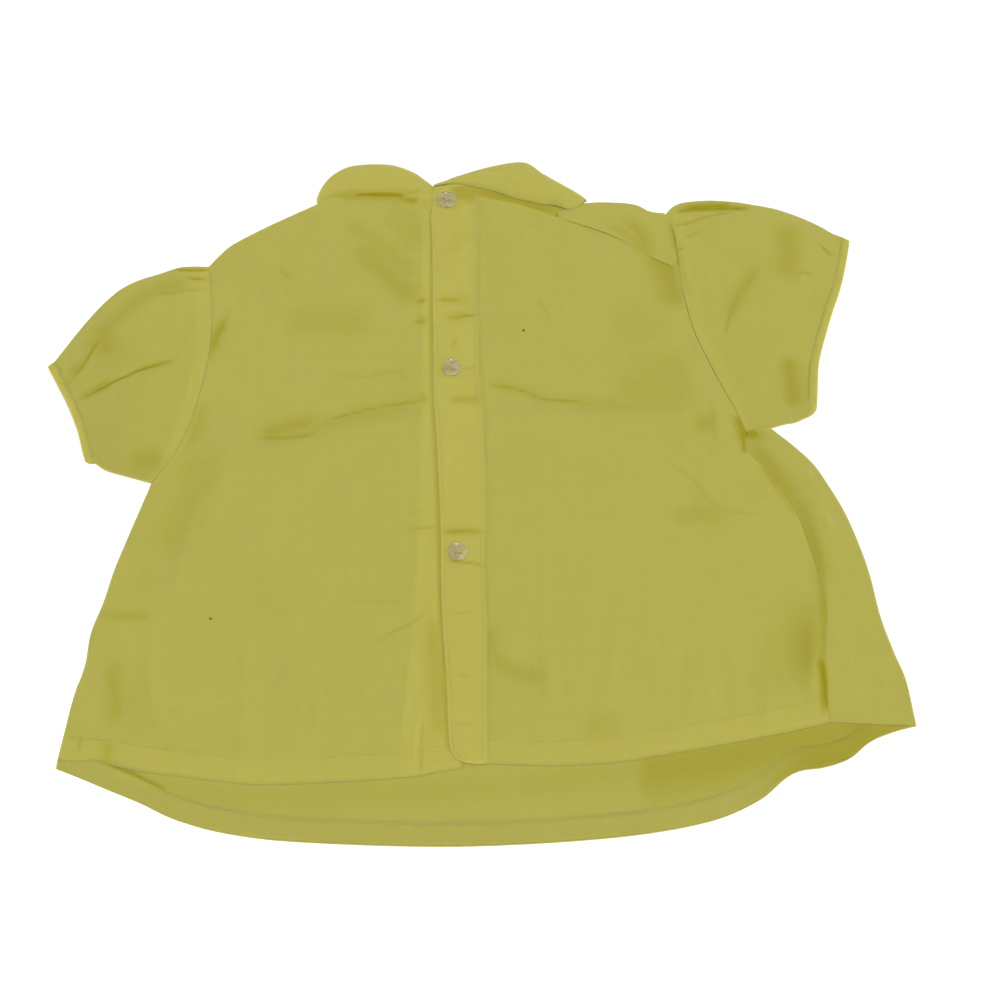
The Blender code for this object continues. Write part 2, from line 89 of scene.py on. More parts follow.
class Curve:
    """A smooth line through places, read by the share of its length.

    STEPS is how many points it has from one place to the next.
    """

    STEPS = 12

    def __init__(self, places: Places) -> None:
        """Runs a Catmull-Rom line through the places.

        Args:
            places: Points of two or more numbers each, in order.
        """
        points = np.asarray(places, float)
        ends = np.vstack([2 * points[0] - points[1], points, 2 * points[-1] - points[-2]])
        t = (np.arange(self.STEPS) / self.STEPS)[:, None]
        runs = []
        for before, start, end, after in zip(ends, ends[1:], ends[2:], ends[3:]):
            runs.append(0.5 * (2 * start + (end - before) * t
                               + (2 * before - 5 * start + 4 * end - after) * t ** 2
                               + (3 * start - before - 3 * end + after) * t ** 3))
        self.samples = np.vstack(runs + [points[-1:]])
        steps = np.linalg.norm(np.diff(self.samples, axis=0), axis=1)
        self.run = np.concatenate([[0.0], np.cumsum(steps)])
        self.length = float(self.run[-1])

    def __call__(self, share: Array | float) -> Array:
        """Reads the line.

        Args:
            share: Shares of the length.

        Returns:
            The points there, with their coordinates on the last axis.
        """
        reach = np.asarray(share, float) * self.length
        parts = [np.interp(reach, self.run, self.samples[:, axis])
                 for axis in range(self.samples.shape[1])]
        return np.stack(parts, -1)


def read(profile: Profile, at: Array) -> Array:
    """The values of a profile, which is pairs of a place and the value there."""
    places, values = np.array(profile).T
    return np.interp(at, places, values)


def left_of(points: Array) -> Array:
    """The unit directions to the left of a row of points.

    Args:
        points: The places of the points, in order.

    Returns:
        A flat direction at each of them.
    """
    run = np.gradient(points, axis=0)
    run /= np.linalg.norm(run, axis=1)[:, None]
    return np.column_stack([-run[:, 1], run[:, 0]])


def beside(line: "Curve", distance: float, count: int = 24) -> "Curve":
    """A line at a distance to the left of another."""
    points = line(np.linspace(0, 1, count + 1))
    return Curve(points + distance * left_of(points))


def chained(first: Line, second: Line, share: float) -> Line:
    """Two lines end to end, with a corner between them.

    Args:
        first: The line that takes the given share of the way.
        second: The line that takes the rest.
        share: Where the corner stands.

    Returns:
        The one line that they make.
    """
    def at(t: Array) -> Array:
        """Reads the two lines as one.

        Args:
            t: Shares of the way.

        Returns:
            The points there.
        """
        t = np.asarray(t, float)
        near = first(np.clip(t / share, 0, 1))
        far = second(np.clip((t - share) / (1 - share), 0, 1))
        return np.where((t <= share)[..., None], near, far)

    return at


@dataclass(frozen=True)
class Patch:
    """A flat piece of cloth between four lines that meet at its corners."""

    under: Line
    over: Line
    left: Line
    right: Line

    def at(self, u: Array, v: Array) -> Array:
        """The places at the shares across (u) and up (v).

        Args:
            u: Shares from the left line to the right one.
            v: Shares from the under line to the over one.

        Returns:
            Places, with x and y on the last axis.
        """
        u, v = np.broadcast_arrays(np.asarray(u, float), np.asarray(v, float))
        uu, vv = u[..., None], v[..., None]
        ruled = (self.under(u) * (1 - vv) + self.over(u) * vv
                 + self.left(v) * (1 - uu) + self.right(v) * uu)
        zero, one = np.zeros_like(u), np.ones_like(u)
        corners = ((self.under(zero) * (1 - uu) + self.under(one) * uu) * (1 - vv)
                   + (self.over(zero) * (1 - uu) + self.over(one) * uu) * vv)
        return ruled - corners


def spaced(length: float, *zones: tuple[float, float]) -> Array:
    """Shares along a length, closer together where a zone asks for it.

    Args:
        length: The whole length.
        zones: For each zone its end, and the step between points in it.

    Returns:
        Shares from 0 to 1.
    """
    shares, start = [0.0], 0.0
    for end, step in zones:
        count = max(1, round((end - start) / step))
        shares += [(start + (end - start) * index / count) / length
                   for index in range(1, count + 1)]
        start = end
    return np.array(shares) / shares[-1]


# ---------------------------------------------------------------- folds

class FoldKind(Enum):
    """How the cloth lies across a fold; SHADE is painted shade alone, with no lift."""

    ROLL = "soft round ridge or trough"
    PINCH = "sharp crease with soft sides"
    DROP = "cloth that stands higher on the left of the line and sinks back further off"
    # A SHADE fold paints shade into the colour and lifts nothing.
    SHADE = "deeper colour alone, in a gap or where the cloth dips too softly to shade"


@dataclass(frozen=True)
class Fold:
    """One fold of the cloth along a line; a rise below zero presses it in.

    SPAN is how far apart the line is read, and HOLD how much of the fold its very ends keep.
    SHARP is how round the bottom of a pinch is, against its edge.
    """

    SPAN: ClassVar[float] = 5.0
    HOLD: ClassVar[float] = 0.04
    SHARP: ClassVar[float] = 0.35

    line: Places
    width: float
    rise: float
    kind: FoldKind = FoldKind.ROLL
    fade: float = 14.0
    edge: float = 1.3

    @property
    def runs_across(self) -> bool:
        """Whether the fold runs more across the garment than up and down it."""
        (left, low), (right, high) = self.line[0], self.line[-1]
        return abs(right - left) > abs(high - low)

    def measured(self, x: Array, y: Array) -> tuple[Array, Array, Array]:
        """How far off the line places are, on which side, and how strong the fold is there.

        Args:
            x: First coordinates of the places.
            y: Second coordinates of the places.

        Returns:
            Distances, signs of the sides (1 on the left) and strengths from 0 to 1.
        """
        curve = Curve(self.line)
        count = max(4, round(curve.length / self.SPAN))
        points = curve(np.linspace(0, 1, count + 1))
        best = np.full(x.shape, 1e9)
        side, share = np.zeros(x.shape), np.zeros(x.shape)
        for index in range(count):
            start, run = points[index], points[index + 1] - points[index]
            dx, dy = x - start[0], y - start[1]
            part = np.clip((dx * run[0] + dy * run[1]) / (run @ run), 0, 1)
            away = np.hypot(dx - part * run[0], dy - part * run[1])
            nearer = away < best
            best = np.where(nearer, away, best)
            side = np.where(nearer, np.sign(run[0] * dy - run[1] * dx), side)
            share = np.where(nearer, (index + part) / count, share)
        fade = min(self.fade, 0.5 * curve.length)
        ends = ease(np.minimum(share, 1 - share) * curve.length / fade + self.HOLD)
        return best, side, ends

    def lift(self, x: Array, y: Array) -> tuple[Array, Array]:
        """How far the fold lifts the cloth, and how much shade it paints into the colour.

        Args:
            x: First coordinates of the places.
            y: Second coordinates of the places.

        Returns:
            The lifts and the painted shade there.
        """
        best, side, ends = self.measured(x, y)
        # A shade fold paints shade alone, and a roll only lifts.
        if self.kind in (FoldKind.ROLL, FoldKind.SHADE):
            full = self.rise * ends * np.exp(-(best / self.width) ** 2)
            none = np.zeros(x.shape)
            return (full, none) if self.kind is FoldKind.ROLL else (none, full)
        if self.kind is FoldKind.PINCH:
            bottom = self.SHARP * self.edge
            soft = np.sqrt(best ** 2 + bottom ** 2) - bottom
            # A pinch also paints shade along its crease.
            crease = np.clip(-self.rise, 0, 1.4) * ends * np.exp(-(best / (0.55 * self.width)) ** 2)
            return self.rise * ends * np.exp(-soft / self.width), crease
        signed = best * side
        rising = 0.5 * (1 + np.tanh(signed / self.edge))
        lift = self.rise * ends * rising * np.exp(-(np.maximum(signed, 0) / self.width) ** 1.5
                                                  - (np.minimum(signed, 0) / (3 * self.edge)) ** 2)
        return lift, np.zeros(x.shape)


def roll(width: float, rise: float, *line: tuple[float, float], fade: float = 22.0) -> Fold:
    """A soft round ridge, or a trough where the rise is below zero."""
    return Fold(line, width, rise, FoldKind.ROLL, fade)


def pinch(width: float, rise: float, *line: tuple[float, float], fade: float = 8.0) -> Fold:
    """A sharp crease with soft sides and shade painted along it."""
    return Fold(line, width, rise, FoldKind.PINCH, fade)


def drop(width: float, rise: float, *line: tuple[float, float], fade: float = 14.0,
         edge: float = 1.3) -> Fold:
    """Cloth that stands higher on the left of the line."""
    return Fold(line, width, rise, FoldKind.DROP, fade, edge)


def shade(width: float, depth: float, *line: tuple[float, float], fade: float = 6.0) -> Fold:
    """Painted shade alone along a line: deeper colour, and no lift."""
    return Fold(line, width, depth, FoldKind.SHADE, fade)


def relief(folds: Iterable[Fold], x: Array, y: Array, gain: float = 1.0) -> tuple[Array, Array]:
    """The lift of several folds together at places, and the shade they paint into the colour.

    Args:
        folds: The folds.
        x: First coordinates of the places.
        y: Their second coordinates.
        gain: How much of the rise the soft folds get, its sign only for those that run across
            the garment; the pinched ones get all of it.

    Returns:
        The lifts, and the painted shade, the strongest of the folds' at each place.
    """
    # sharp gathers the painted shade of all the folds.
    total, sharp = np.zeros(x.shape), np.zeros(x.shape)
    for fold in folds:
        lift, crease = fold.lift(x, y)
        if fold.kind is not FoldKind.PINCH:
            lift = lift * (gain if fold.runs_across else abs(gain))
        total += lift
        sharp = np.maximum(sharp, crease)
    return total, sharp


def kept_above(floor: float, z: Array, softness: float = 0.6) -> Array:
    """Holds heights over a floor, with a soft bend where they come down to it.

    Args:
        floor: The lowest height.
        z: The heights.
        softness: How far over the floor the bend reaches.

    Returns:
        The held heights.
    """
    rise, free = (z - floor) / softness, 3
    bent = (np.log1p(np.exp(np.minimum(rise, free)))
            - (math.log1p(math.exp(free)) - free) * (rise > 0))
    return floor + softness * np.where(rise > free, rise, bent)


def crumple(x: Array, y: Array, scale: float, height: float, seed: float) -> Array:
    """Small uneven waves of cotton that was worn and washed.

    Args:
        x: First coordinates of the places.
        y: Second coordinates of the places.
        scale: Size of the waves.
        height: Height of the waves.
        seed: Picks another part of the same noise.

    Returns:
        Heights, of the shape of x.
    """
    flat = [noise.noise(Vector((px / scale, py / scale, seed)))
            for px, py in zip(x.ravel(), y.ravel())]
    return height * np.array(flat).reshape(x.shape)


# ---------------------------------------------------------------- finishes

class Value:
    """One value in a material, on which Python's operators add Math nodes."""

    def __init__(self, bench: "Bench", socket: Socket) -> None:
        """Wraps an output socket of the bench's material."""
        self.bench = bench
        self.socket = socket

    def math(self, operation: str, *others: "Value | float") -> "Value":
        """The result of a Math node on this value and others."""
        return self.bench.math(operation, self, *others)

    def __add__(self, other: "Value | float") -> "Value":
        """This value plus another."""
        return self.math("ADD", other)

    def __sub__(self, other: "Value | float") -> "Value":
        """This value less another."""
        return self.math("SUBTRACT", other)

    def __mul__(self, other: "Value | float") -> "Value":
        """This value times another."""
        return self.math("MULTIPLY", other)

    def __rsub__(self, other: float) -> "Value":
        """A number less this value."""
        return self.bench.math("SUBTRACT", other, self)

    __radd__ = __add__
    __rmul__ = __mul__

    def rising(self, low: float, high: float) -> "Value":
        """A smooth rise of a value.

        Args:
            low: The value at which it is 0.
            high: The value at which it is 1.

        Returns:
            The rise.
        """
        node = self.bench.node("ShaderNodeMapRange", {"interpolation_type": "SMOOTHSTEP"},
                               {"Value": self, "From Min": low, "From Max": high})
        return Value(self.bench, node.outputs["Result"])


class Bench:
    """The nodes of one material or surround, while they are put together."""

    def __init__(self, holder: Finish | bpy.types.World, shader: str) -> None:
        """Starts on a new material or world.

        Args:
            holder: The material or world.
            shader: The name of the shader that it starts with.
        """
        holder.use_nodes = True
        self.holder = holder
        self.tree = holder.node_tree
        self.shader = self.tree.nodes[shader]

    @classmethod
    def of_material(cls, name: str) -> "Bench":
        """A bench with a new material on it."""
        return cls(bpy.data.materials.new(name), "Principled BSDF")

    def node(self, kind: str, settings: dict[str, Any] | None = None,
             sockets: dict[str | int, Any] | None = None) -> bpy.types.Node:
        """Adds a node.

        Args:
            kind: The node's type.
            settings: Its settings, which are set first.
            sockets: Values or links of its sockets, by name or number.

        Returns:
            The node.
        """
        made = self.tree.nodes.new(kind)
        for key, setting in (settings or {}).items():
            setattr(made, key, setting)
        for key, wanted in (sockets or {}).items():
            self.feed(made.inputs[key], wanted)
        return made

    def feed(self, socket: Socket, wanted: Any) -> None:
        """Links a value or socket to an input, or sets a constant on it.

        Args:
            socket: The input.
            wanted: What it gets.
        """
        if isinstance(wanted, Value):
            wanted = wanted.socket
        if isinstance(wanted, Socket):
            self.tree.links.new(wanted, socket)
        else:
            socket.default_value = wanted

    def math(self, operation: str, *terms: Value | float) -> Value:
        """A Math node on values and numbers."""
        node = self.node("ShaderNodeMath", {"operation": operation}, dict(enumerate(terms)))
        return Value(self, node.outputs[0])

    def mixed(self, share: Value | float, first: Any, second: Any) -> Socket:
        """A colour between two.

        Args:
            share: How much of the second it has.
            first: The first, a colour or a socket.
            second: The second, a colour or a socket.

        Returns:
            The socket of the mixed colour.
        """
        node = self.node("ShaderNodeMix", {"data_type": "RGBA"})
        self.feed(node.inputs["Factor"], share)
        for socket, wanted in ((node.inputs[6], first), (node.inputs[7], second)):
            self.feed(socket, (*wanted, 1) if isinstance(wanted, tuple) else wanted)
        return node.outputs[2]

    def place(self) -> Socket:
        """The place on the object, in metres."""
        return self.node("ShaderNodeTexCoord").outputs["Object"]

    def weave(self) -> Socket:
        """The place in the cloth's own weave, in metres along weft and warp."""
        return self.node("ShaderNodeUVMap", {"uv_map": WEAVE_MAP}).outputs["UV"]

    def noise(self, vector: Socket, stretch: tuple[float, float, float],
              detail: float = 2.0) -> Value:
        """Noise over a vector.

        Args:
            vector: The socket of the vector.
            stretch: Waves per metre along each of its axes.
            detail: How many finer waves are laid over them.

        Returns:
            The noise, from 0 to 1.
        """
        node = self.node("ShaderNodeMapping", None, {"Vector": vector, "Scale": stretch})
        made = self.node("ShaderNodeTexNoise", None,
                         {"Vector": node.outputs["Vector"], "Scale": 1.0, "Detail": detail})
        return Value(self, made.outputs["Fac"])

    def bump(self, height: Value, depth: float) -> None:
        """Presses a height pattern into the surface.

        Args:
            height: The pattern.
            depth: How many metres a height of 1 is.
        """
        node = self.node("ShaderNodeBump", None,
                         {"Strength": 1.0, "Distance": depth, "Height": height})
        self.feed(self.shader.inputs["Normal"], node.outputs["Normal"])

    def constants(self, **sockets: Any) -> None:
        """Sets the shader's own constants; an underscore in a name stands for a space."""
        for key, wanted in sockets.items():
            self.shader.inputs[key.replace("_", " ")].default_value = wanted


@dataclass(frozen=True)
class Cotton:
    """Thin yellow cotton in a plain weave, lighter where it lies double, with painted crease shade.
    """

    name: str
    deep: Colour = (0.416, 0.373, 0.052)
    light: Colour = (0.520, 0.479, 0.112)
    # The deeper olive of painted shade, and how strongly the shade attribute mixes it in.
    shade_colour: Colour = (0.338, 0.292, 0.0)
    thread_pitch: float = 0.45
    shade_strength: float = 0.8
    nap: float = 0.07
    specks: tuple[tuple[float, float], ...] = ()
    speck_size: float = 0.95
    speck: Colour = (0.035, 0.028, 0.008)

    def made(self) -> Finish:
        """Makes the material.

        Returns:
            The material.
        """
        bench = Bench.of_material(self.name)
        weave = bench.weave()
        parts = bench.node("ShaderNodeSeparateXYZ", None, {"Vector": weave})
        weft, warp = Value(bench, parts.outputs[0]), Value(bench, parts.outputs[1])
        wander = bench.noise(weave, (160, 160, 1)) - 0.5
        turn = 2 * math.pi / (self.thread_pitch * MM)
        crossings = ((weft * turn + wander * 9).math("SINE")
                     * (warp * turn + wander * 9).math("SINE"))
        along = bench.noise(weave, (38, 1900, 1), 1.0)
        across = bench.noise(weave, (1900, 30, 1), 1.0)
        slubs = along.rising(0.60, 0.80) + across.rising(0.62, 0.80)
        streaks = bench.noise(weave, (9, 240, 1), 3.0) + bench.noise(weave, (240, 7, 1), 3.0) - 1.0
        cloud = bench.noise(bench.place(), (22, 22, 22), 3.0) - 0.5
        attribute = bench.node("ShaderNodeAttribute", {"attribute_name": PLIES})
        double = Value(bench, attribute.outputs["Fac"]).rising(1.0, 2.0)
        tone = (0.46 + cloud * 0.22 + streaks * 0.16 + (along + across - 1.0) * 0.10
                + slubs * 0.05 + double * 0.10)
        colour = bench.mixed(tone, self.deep, self.light)
        # Painted shade: the colour goes toward the deeper olive where the mesh's shade attribute is
        # set.
        crease = bench.node("ShaderNodeAttribute", {"attribute_name": PAINTED_SHADE})
        share = (Value(bench, crease.outputs["Fac"]) * self.shade_strength).math("MINIMUM", 1.0)
        colour = bench.mixed(share, colour, self.shade_colour)
        for x, y in self.specks:
            away = bench.node("ShaderNodeVectorMath", {"operation": "MULTIPLY"},
                              {0: bench.place(), 1: (1, 1, 0)})
            apart = bench.node("ShaderNodeVectorMath", {"operation": "DISTANCE"},
                               {0: away.outputs[0], 1: (x * MM, y * MM, 0)})
            reach = Value(bench, apart.outputs["Value"]) + wander * (0.4 * MM)
            inside = reach.rising(self.speck_size * MM, 0.35 * self.speck_size * MM)
            colour = bench.mixed(inside, colour, self.speck)
        bench.feed(bench.shader.inputs["Base Color"], colour)
        bench.constants(Roughness=0.85, Specular_IOR_Level=0.25, Sheen_Weight=0.12,
                        Sheen_Roughness=0.5, Subsurface_Weight=0.80, Subsurface_Scale=2.4 * MM,
                        Subsurface_Radius=(1.0, 0.95, 0.18))
        bench.bump(crossings * 0.25 + slubs * 0.4 + (along + across) * 0.3,
                   self.nap * MM)
        return bench.holder


# ---------------------------------------------------------------- cloth

class Facing(Enum):
    """Which way the outer side of a grid of cloth looks."""

    UP = 1
    DOWN = -1
    OUT = 0


@dataclass
class Grid:
    """Rows of points on the outer side of a cloth, with what the cloth is like at each."""

    points: Array
    weave: Array
    plies: Array
    # How much shade is painted into the colour at each point.
    crease_shade: Array
    facing: Facing = Facing.UP
    closed: bool = False

    def quads(self) -> tuple[Array, Array]:
        """The cells between the points, turned so that they face the grid's way.

        Returns:
            The numbers of every cell's four points, and their places in the weave.
        """
        rows, columns = self.points.shape[:2]
        places = np.arange(rows * columns).reshape(rows, columns)
        if self.closed:
            places = np.hstack([places, places[:, :1]])
        quads = self.ring(places)
        weave = self.ring(self.weave)
        flat = self.points.reshape(-1, 3)
        corners = flat[quads]
        normals = np.cross(corners[:, 2] - corners[:, 0], corners[:, 3] - corners[:, 1])
        if self.facing is Facing.OUT:
            sense = np.sum(normals * (corners.mean(1) - flat.mean(0)))
        else:
            sense = np.sum(normals[:, 2]) * self.facing.value
        if sense < 0:
            quads, weave = quads[:, ::-1], weave[:, ::-1]
        return quads, weave

    @staticmethod
    def ring(values: Array) -> Array:
        """The four corner values of every cell of a grid of values."""
        cells = np.stack([values[:-1, :-1], values[:-1, 1:], values[1:, 1:], values[1:, :-1]], 2)
        return cells.reshape(-1, 4, *values.shape[2:])


@dataclass(frozen=True)
class Weave:
    """The dress's cotton: its thickness, and how its hems are pressed.

    An edge bent by the angle sharp or more is shaded as a hard one.
    """

    ply: float = 0.42
    hem_plies: float = 1.4
    hem_round: float = 0.14
    hem_swell: float = 0.3
    sharp: float = math.radians(48)


WEAVE = Weave()


def lap(border: Array, away: Array, facing: Facing, reach: float = 2.6, rise: float = 0.55) -> Grid:
    """A seam allowance that runs on from a border of cloth, on top of the cloth next to it.

    Args:
        border: The points of the border.
        away: For each of them, the flat direction out of the cloth.
        facing: Which way the outer side looks.
        reach: How far the allowance runs.
        rise: How high it lies over the border.

    Returns:
        The grid, whose first row is the border.
    """
    rows = []
    for out, up in ((0.0, 0.0), (0.08, 0.3 * rise), (0.16, rise), (0.8, rise), (reach, rise)):
        rows.append(border + np.column_stack([away * out, np.full(len(border), up)]))
    points = np.stack(rows)
    ones = np.ones(points.shape[:2])
    return Grid(points, points[..., :2].copy(), ones, 0 * ones, facing)


def unselected() -> None:
    """Deselects everything, as an operator acts on all that is selected."""
    bpy.ops.object.select_all(action="DESELECT")


def dress_piece(piece: Piece, material: Finish, slot: str, *nodes: str) -> Piece:
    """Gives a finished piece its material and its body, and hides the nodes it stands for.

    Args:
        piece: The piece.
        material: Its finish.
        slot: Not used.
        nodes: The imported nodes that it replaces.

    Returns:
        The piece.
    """
    piece.data.materials.clear()
    piece.data.materials.append(material)
    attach(piece, ROOT)
    if nodes:
        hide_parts(*nodes)
    LOG.info("%s: %d faces, %.5f square metres a side", piece.name, len(piece.data.polygons),
             sum(face.area for face in piece.data.polygons) / 2)
    return piece


def linked(name: str, data: bpy.types.ID) -> Piece:
    """Puts a new object in the scene.

    Args:
        name: Its name.
        data: Its mesh, lamp or camera.

    Returns:
        The object.
    """
    made = bpy.data.objects.new(name, data)
    bpy.context.scene.collection.objects.link(made)
    return made


def cloth(name: str, *grids: Grid) -> Piece:
    """Makes a closed wall of cloth from grids that share their borders.

    Args:
        name: The piece's name.
        grids: The outer side. A place with two plies is twice as thick as one with one.

    Returns:
        The piece, with the weave map, the plies and the painted shade on it.
    """
    points = np.vstack([grid.points.reshape(-1, 3) for grid in grids])
    plies = np.concatenate([grid.plies.ravel() for grid in grids])
    crease_shade = np.concatenate([grid.crease_shade.ravel() for grid in grids])
    quads, weave, start = [], [], 0
    for grid in grids:
        cells, places = grid.quads()
        quads.append(cells + start)
        weave.append(places)
        start += grid.points.shape[0] * grid.points.shape[1]
    quads, weave = np.vstack(quads), np.vstack(weave)
    _, first, same = np.unique(np.round(points, 3), axis=0, return_index=True, return_inverse=True)
    points, plies, crease_shade = points[first], plies[first], crease_shade[first]
    quads = same.ravel()[quads]

    corners = points[quads]
    normals = np.cross(corners[:, 2] - corners[:, 0], corners[:, 3] - corners[:, 1])
    outward = np.zeros_like(points)
    for corner in range(4):
        np.add.at(outward, quads[:, corner], normals)
    outward /= np.linalg.norm(outward, axis=1)[:, None] + 1e-12
    inner = points - outward * (WEAVE.ply * plies)[:, None]

    count = len(points)
    edges = np.stack([quads, np.roll(quads, -1, axis=1)], 2).reshape(-1, 2)
    _, twin, uses = np.unique(np.sort(edges, axis=1), axis=0, return_inverse=True,
                              return_counts=True)
    open_edges = uses[twin.ravel()] == 1
    rim = edges[open_edges]
    rim_faces = np.stack([rim[:, 1], rim[:, 0], rim[:, 0] + count, rim[:, 1] + count], 1)
    after = np.roll(weave, -1, axis=1).reshape(-1, 2)[open_edges]
    here = weave.reshape(-1, 2)[open_edges]
    rim_weave = np.stack([after, here, here, after], 1)

    faces = np.vstack([quads, quads[:, ::-1] + count, rim_faces])
    data = bpy.data.meshes.new(name)
    data.from_pydata((np.vstack([points, inner]) * MM).tolist(), [], faces.tolist())
    layer = data.uv_layers.new(name=WEAVE_MAP)
    places = np.vstack([weave, weave[:, ::-1], rim_weave]).reshape(-1, 2) * MM
    layer.data.foreach_set("uv", places.ravel())
    for kept, values in ((PLIES, plies), (PAINTED_SHADE, crease_shade)):
        attribute = data.attributes.new(kept, "FLOAT", "POINT")
        attribute.data.foreach_set("value", np.tile(values, 2))
    data.validate()
    data.shade_smooth()
    data.set_sharp_from_angle(angle=WEAVE.sharp)
    return linked(name, data)


class Sewn:
    """A piece of cotton of the dress; name is the piece's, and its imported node's if it has one."""

    name: str

    def grids(self) -> Sequence[Grid]:
        """The grids of the piece's outer side, which each piece has its own way to lay."""
        raise NotImplementedError

    def build(self, finish: Finish) -> Piece:
        """Makes the piece.

        Args:
            finish: Its material.

        Returns:
            The piece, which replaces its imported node.
        """
        nodes = [self.name] if self.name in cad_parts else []
        return dress_piece(cloth(self.name, *self.grids()), finish, "cotton", *nodes)


# ---------------------------------------------------------------- studio

@dataclass(frozen=True)
class Studio:
    """A pale floor, one wide soft lamp and a camera above the dress's hem side."""

    elevation: float = 62.0
    distance: float = 1.08
    lens: float = 77.76
    sensor: float = 36.0
    nearest: float = 0.01
    farthest: float = 50.0
    floor_size: float = 9.0
    floor_level: float = -0.15
    floor_colour: tuple[float, float, float, float] = (0.95, 0.95, 0.95, 1.0)
    floor_glow: float = 0.20
    white: tuple[float, float, float, float] = (1, 1, 1, 1)
    surround: float = 0.58
    key_power: float = 152.0
    key_size: float = 2.2
    key_place: tuple[float, float, float] = (0.80, -1.70, 4.75)

    def stand_camera(self) -> None:
        """Stands the camera at its angle over the dress."""
        data = bpy.data.cameras.new("camera")
        data.lens, data.sensor_width = self.lens, self.sensor
        data.clip_start, data.clip_end = self.nearest, self.farthest
        camera = linked("camera", data)
        angle = math.radians(self.elevation)
        camera.location = (0.0, -self.distance * math.cos(angle), self.distance * math.sin(angle))
        camera.rotation_euler = (math.pi / 2 - angle, 0.0, 0.0)
        bpy.context.scene.camera = camera

    @staticmethod
    def seen(bench: Bench, *rays: str) -> Value:
        """1 for rays of some kinds, and 0 for the others.

        Args:
            bench: The bench of the material or surround.
            rays: The kinds, two or more.

        Returns:
            The value.
        """
        path = bench.node("ShaderNodeLightPath")
        found, *others = [Value(bench, path.outputs[f"Is {ray} Ray"]) for ray in rays]
        for other in others:
            found = found.math("MAXIMUM", other)
        return found

    def floor(self) -> None:
        """Lays the floor, which glows a little for the camera so that it looks white."""
        unselected()
        bpy.ops.mesh.primitive_plane_add(size=self.floor_size,
                                         location=(0, 0, self.floor_level * MM))
        floor = bpy.context.object
        floor.name = "floor"
        bench = Bench.of_material("floor")
        bench.constants(Base_Color=self.floor_colour, Roughness=1.0, Specular_IOR_Level=0.0,
                        Emission_Color=self.white)
        seen = self.seen(bench, "Camera", "Glossy", "Transmission")
        bench.feed(bench.shader.inputs["Emission Strength"], seen * self.floor_glow)
        floor.data.materials.append(bench.holder)

    def light(self) -> None:
        """Hangs one wide lamp high up, a little to the hem's side, under an even surround."""
        world = bpy.data.worlds.new("surround")
        bpy.context.scene.world = world
        bench = Bench(world, "Background")
        strength = bench.node("ShaderNodeMapRange", None, {
            "Value": self.seen(bench, "Camera", "Transmission"),
            "To Min": self.surround, "To Max": 1.0})
        bench.feed(bench.shader.inputs["Strength"], strength.outputs["Result"])
        bench.constants(Color=self.white)
        lamp = bpy.data.lights.new("key", "AREA")
        lamp.shape, lamp.size, lamp.energy = "DISK", self.key_size, self.key_power
        key = linked("key", lamp)
        key.location = self.key_place
        key.rotation_mode = "QUATERNION"
        key.rotation_quaternion = (-Vector(self.key_place)).to_track_quat("-Z", "Y")

    def build(self) -> None:
        """Sets up the camera, the floor and the light."""
        bpy.context.scene.view_settings.view_transform = "Standard"
        self.stand_camera()
        self.floor()
        self.light()


# ---------------------------------------------------------------- outlines of the body

SIDE_LEFT = Curve(((-208.2, -142.5), (-207.6, -136), (-204.8, -118.5), (-202.3, -102),
                   (-199.4, -92), (-197.8, -73), (-193.2, -57), (-190.2, -42.5), (-184.6, -23),
                   (-174.8, 9)))
ARMHOLE_LEFT = Curve(((-174.8, 9), (-164.2, 25), (-156.2, 48.5), (-151, 78.5), (-150.2, 103),
                      (-152, 125), (-154.2, 139.5)))
SHOULDER_LEFT = Curve(((-154.2, 139.5), (-146.5, 149.5), (-141, 154.5), (-128, 163), (-112, 172.3),
                       (-99, 179.5)))
NECK_BACK_LEFT = Curve(((-99, 179.5), (-90, 182.4), (-75, 183.4), (-62, 183.2), (-50, 183.2),
                        (-44, 184.6), (-36, 186), (-14, 187)))
UNDERLAP_EDGE = Curve(((-18.5, -143), (-14, -80), (-11, -20), (-12, 88), (-14, 187)))
HEM_BACK_LEFT = Curve(((-207.8, -138.5), (-197, -140.3), (-186, -140.8), (-167.4, -144.4),
                       (-148, -147), (-122, -150.2), (-106.6, -150.7), (-70, -149.2),
                       (-46.8, -147.3), (-37, -146.3), (-30, -144.6), (-18.5, -143)))

HEM_BACK_RIGHT = Curve(((-6.6, -140.2), (14, -141.2), (33, -141.2), (55.5, -139.6), (75.3, -136.2),
                        (95.7, -132.6), (115.7, -128.6), (129, -126), (142.5, -123),
                        (156.5, -119.5)))
BAND_EDGE = Curve(((-16.5, -140.2), (-20.4, -138.7), (-23, -134.6), (-24.1, -128), (-25.4, -99.7),
                   (-28.3, -57.4), (-29.4, -13.4), (-32.6, 44.1), (-33.8, 56), (-34.2, 80),
                   (-35.4, 129.6), (-36.4, 163), (-37.4, 169.5), (-36.2, 174.7), (-36.2, 186.4)))
BAND_SEAM = Curve(((-5.8, -140.3), (-5.8, -66), (-6.9, -35.5), (-6.6, 18.6), (-10.4, 86),
                   (-11.7, 143.7), (-11.9, 184.2)))
UNDER_BAND = Curve(((-6.6, -140.2), (-6.6, -66), (-7.7, -35.5), (-7.4, 18.6), (-11.2, 86),
                    (-12.4, 143.7), (-12, 183.6)))
NECK_BACK_RIGHT = Curve(((-12, 183.6), (-6, 182), (0, 180.4), (8, 178.4), (20, 173.8), (28, 170.4)))
ROLL_SEAM = Curve(((28, 170.4), (33, 169), (44, 165), (54.5, 161), (64.5, 156), (72, 151.5),
                   (78, 146.5), (94.8, 138.5)))
ARMHOLE_RIGHT = Curve(((124.6, 38.6), (119.4, 52.6), (114.4, 63.4), (104.4, 88), (100.4, 100.6),
                       (97.2, 116.6), (95, 135), (94, 148), (92.4, 162), (88.4, 172.5)))
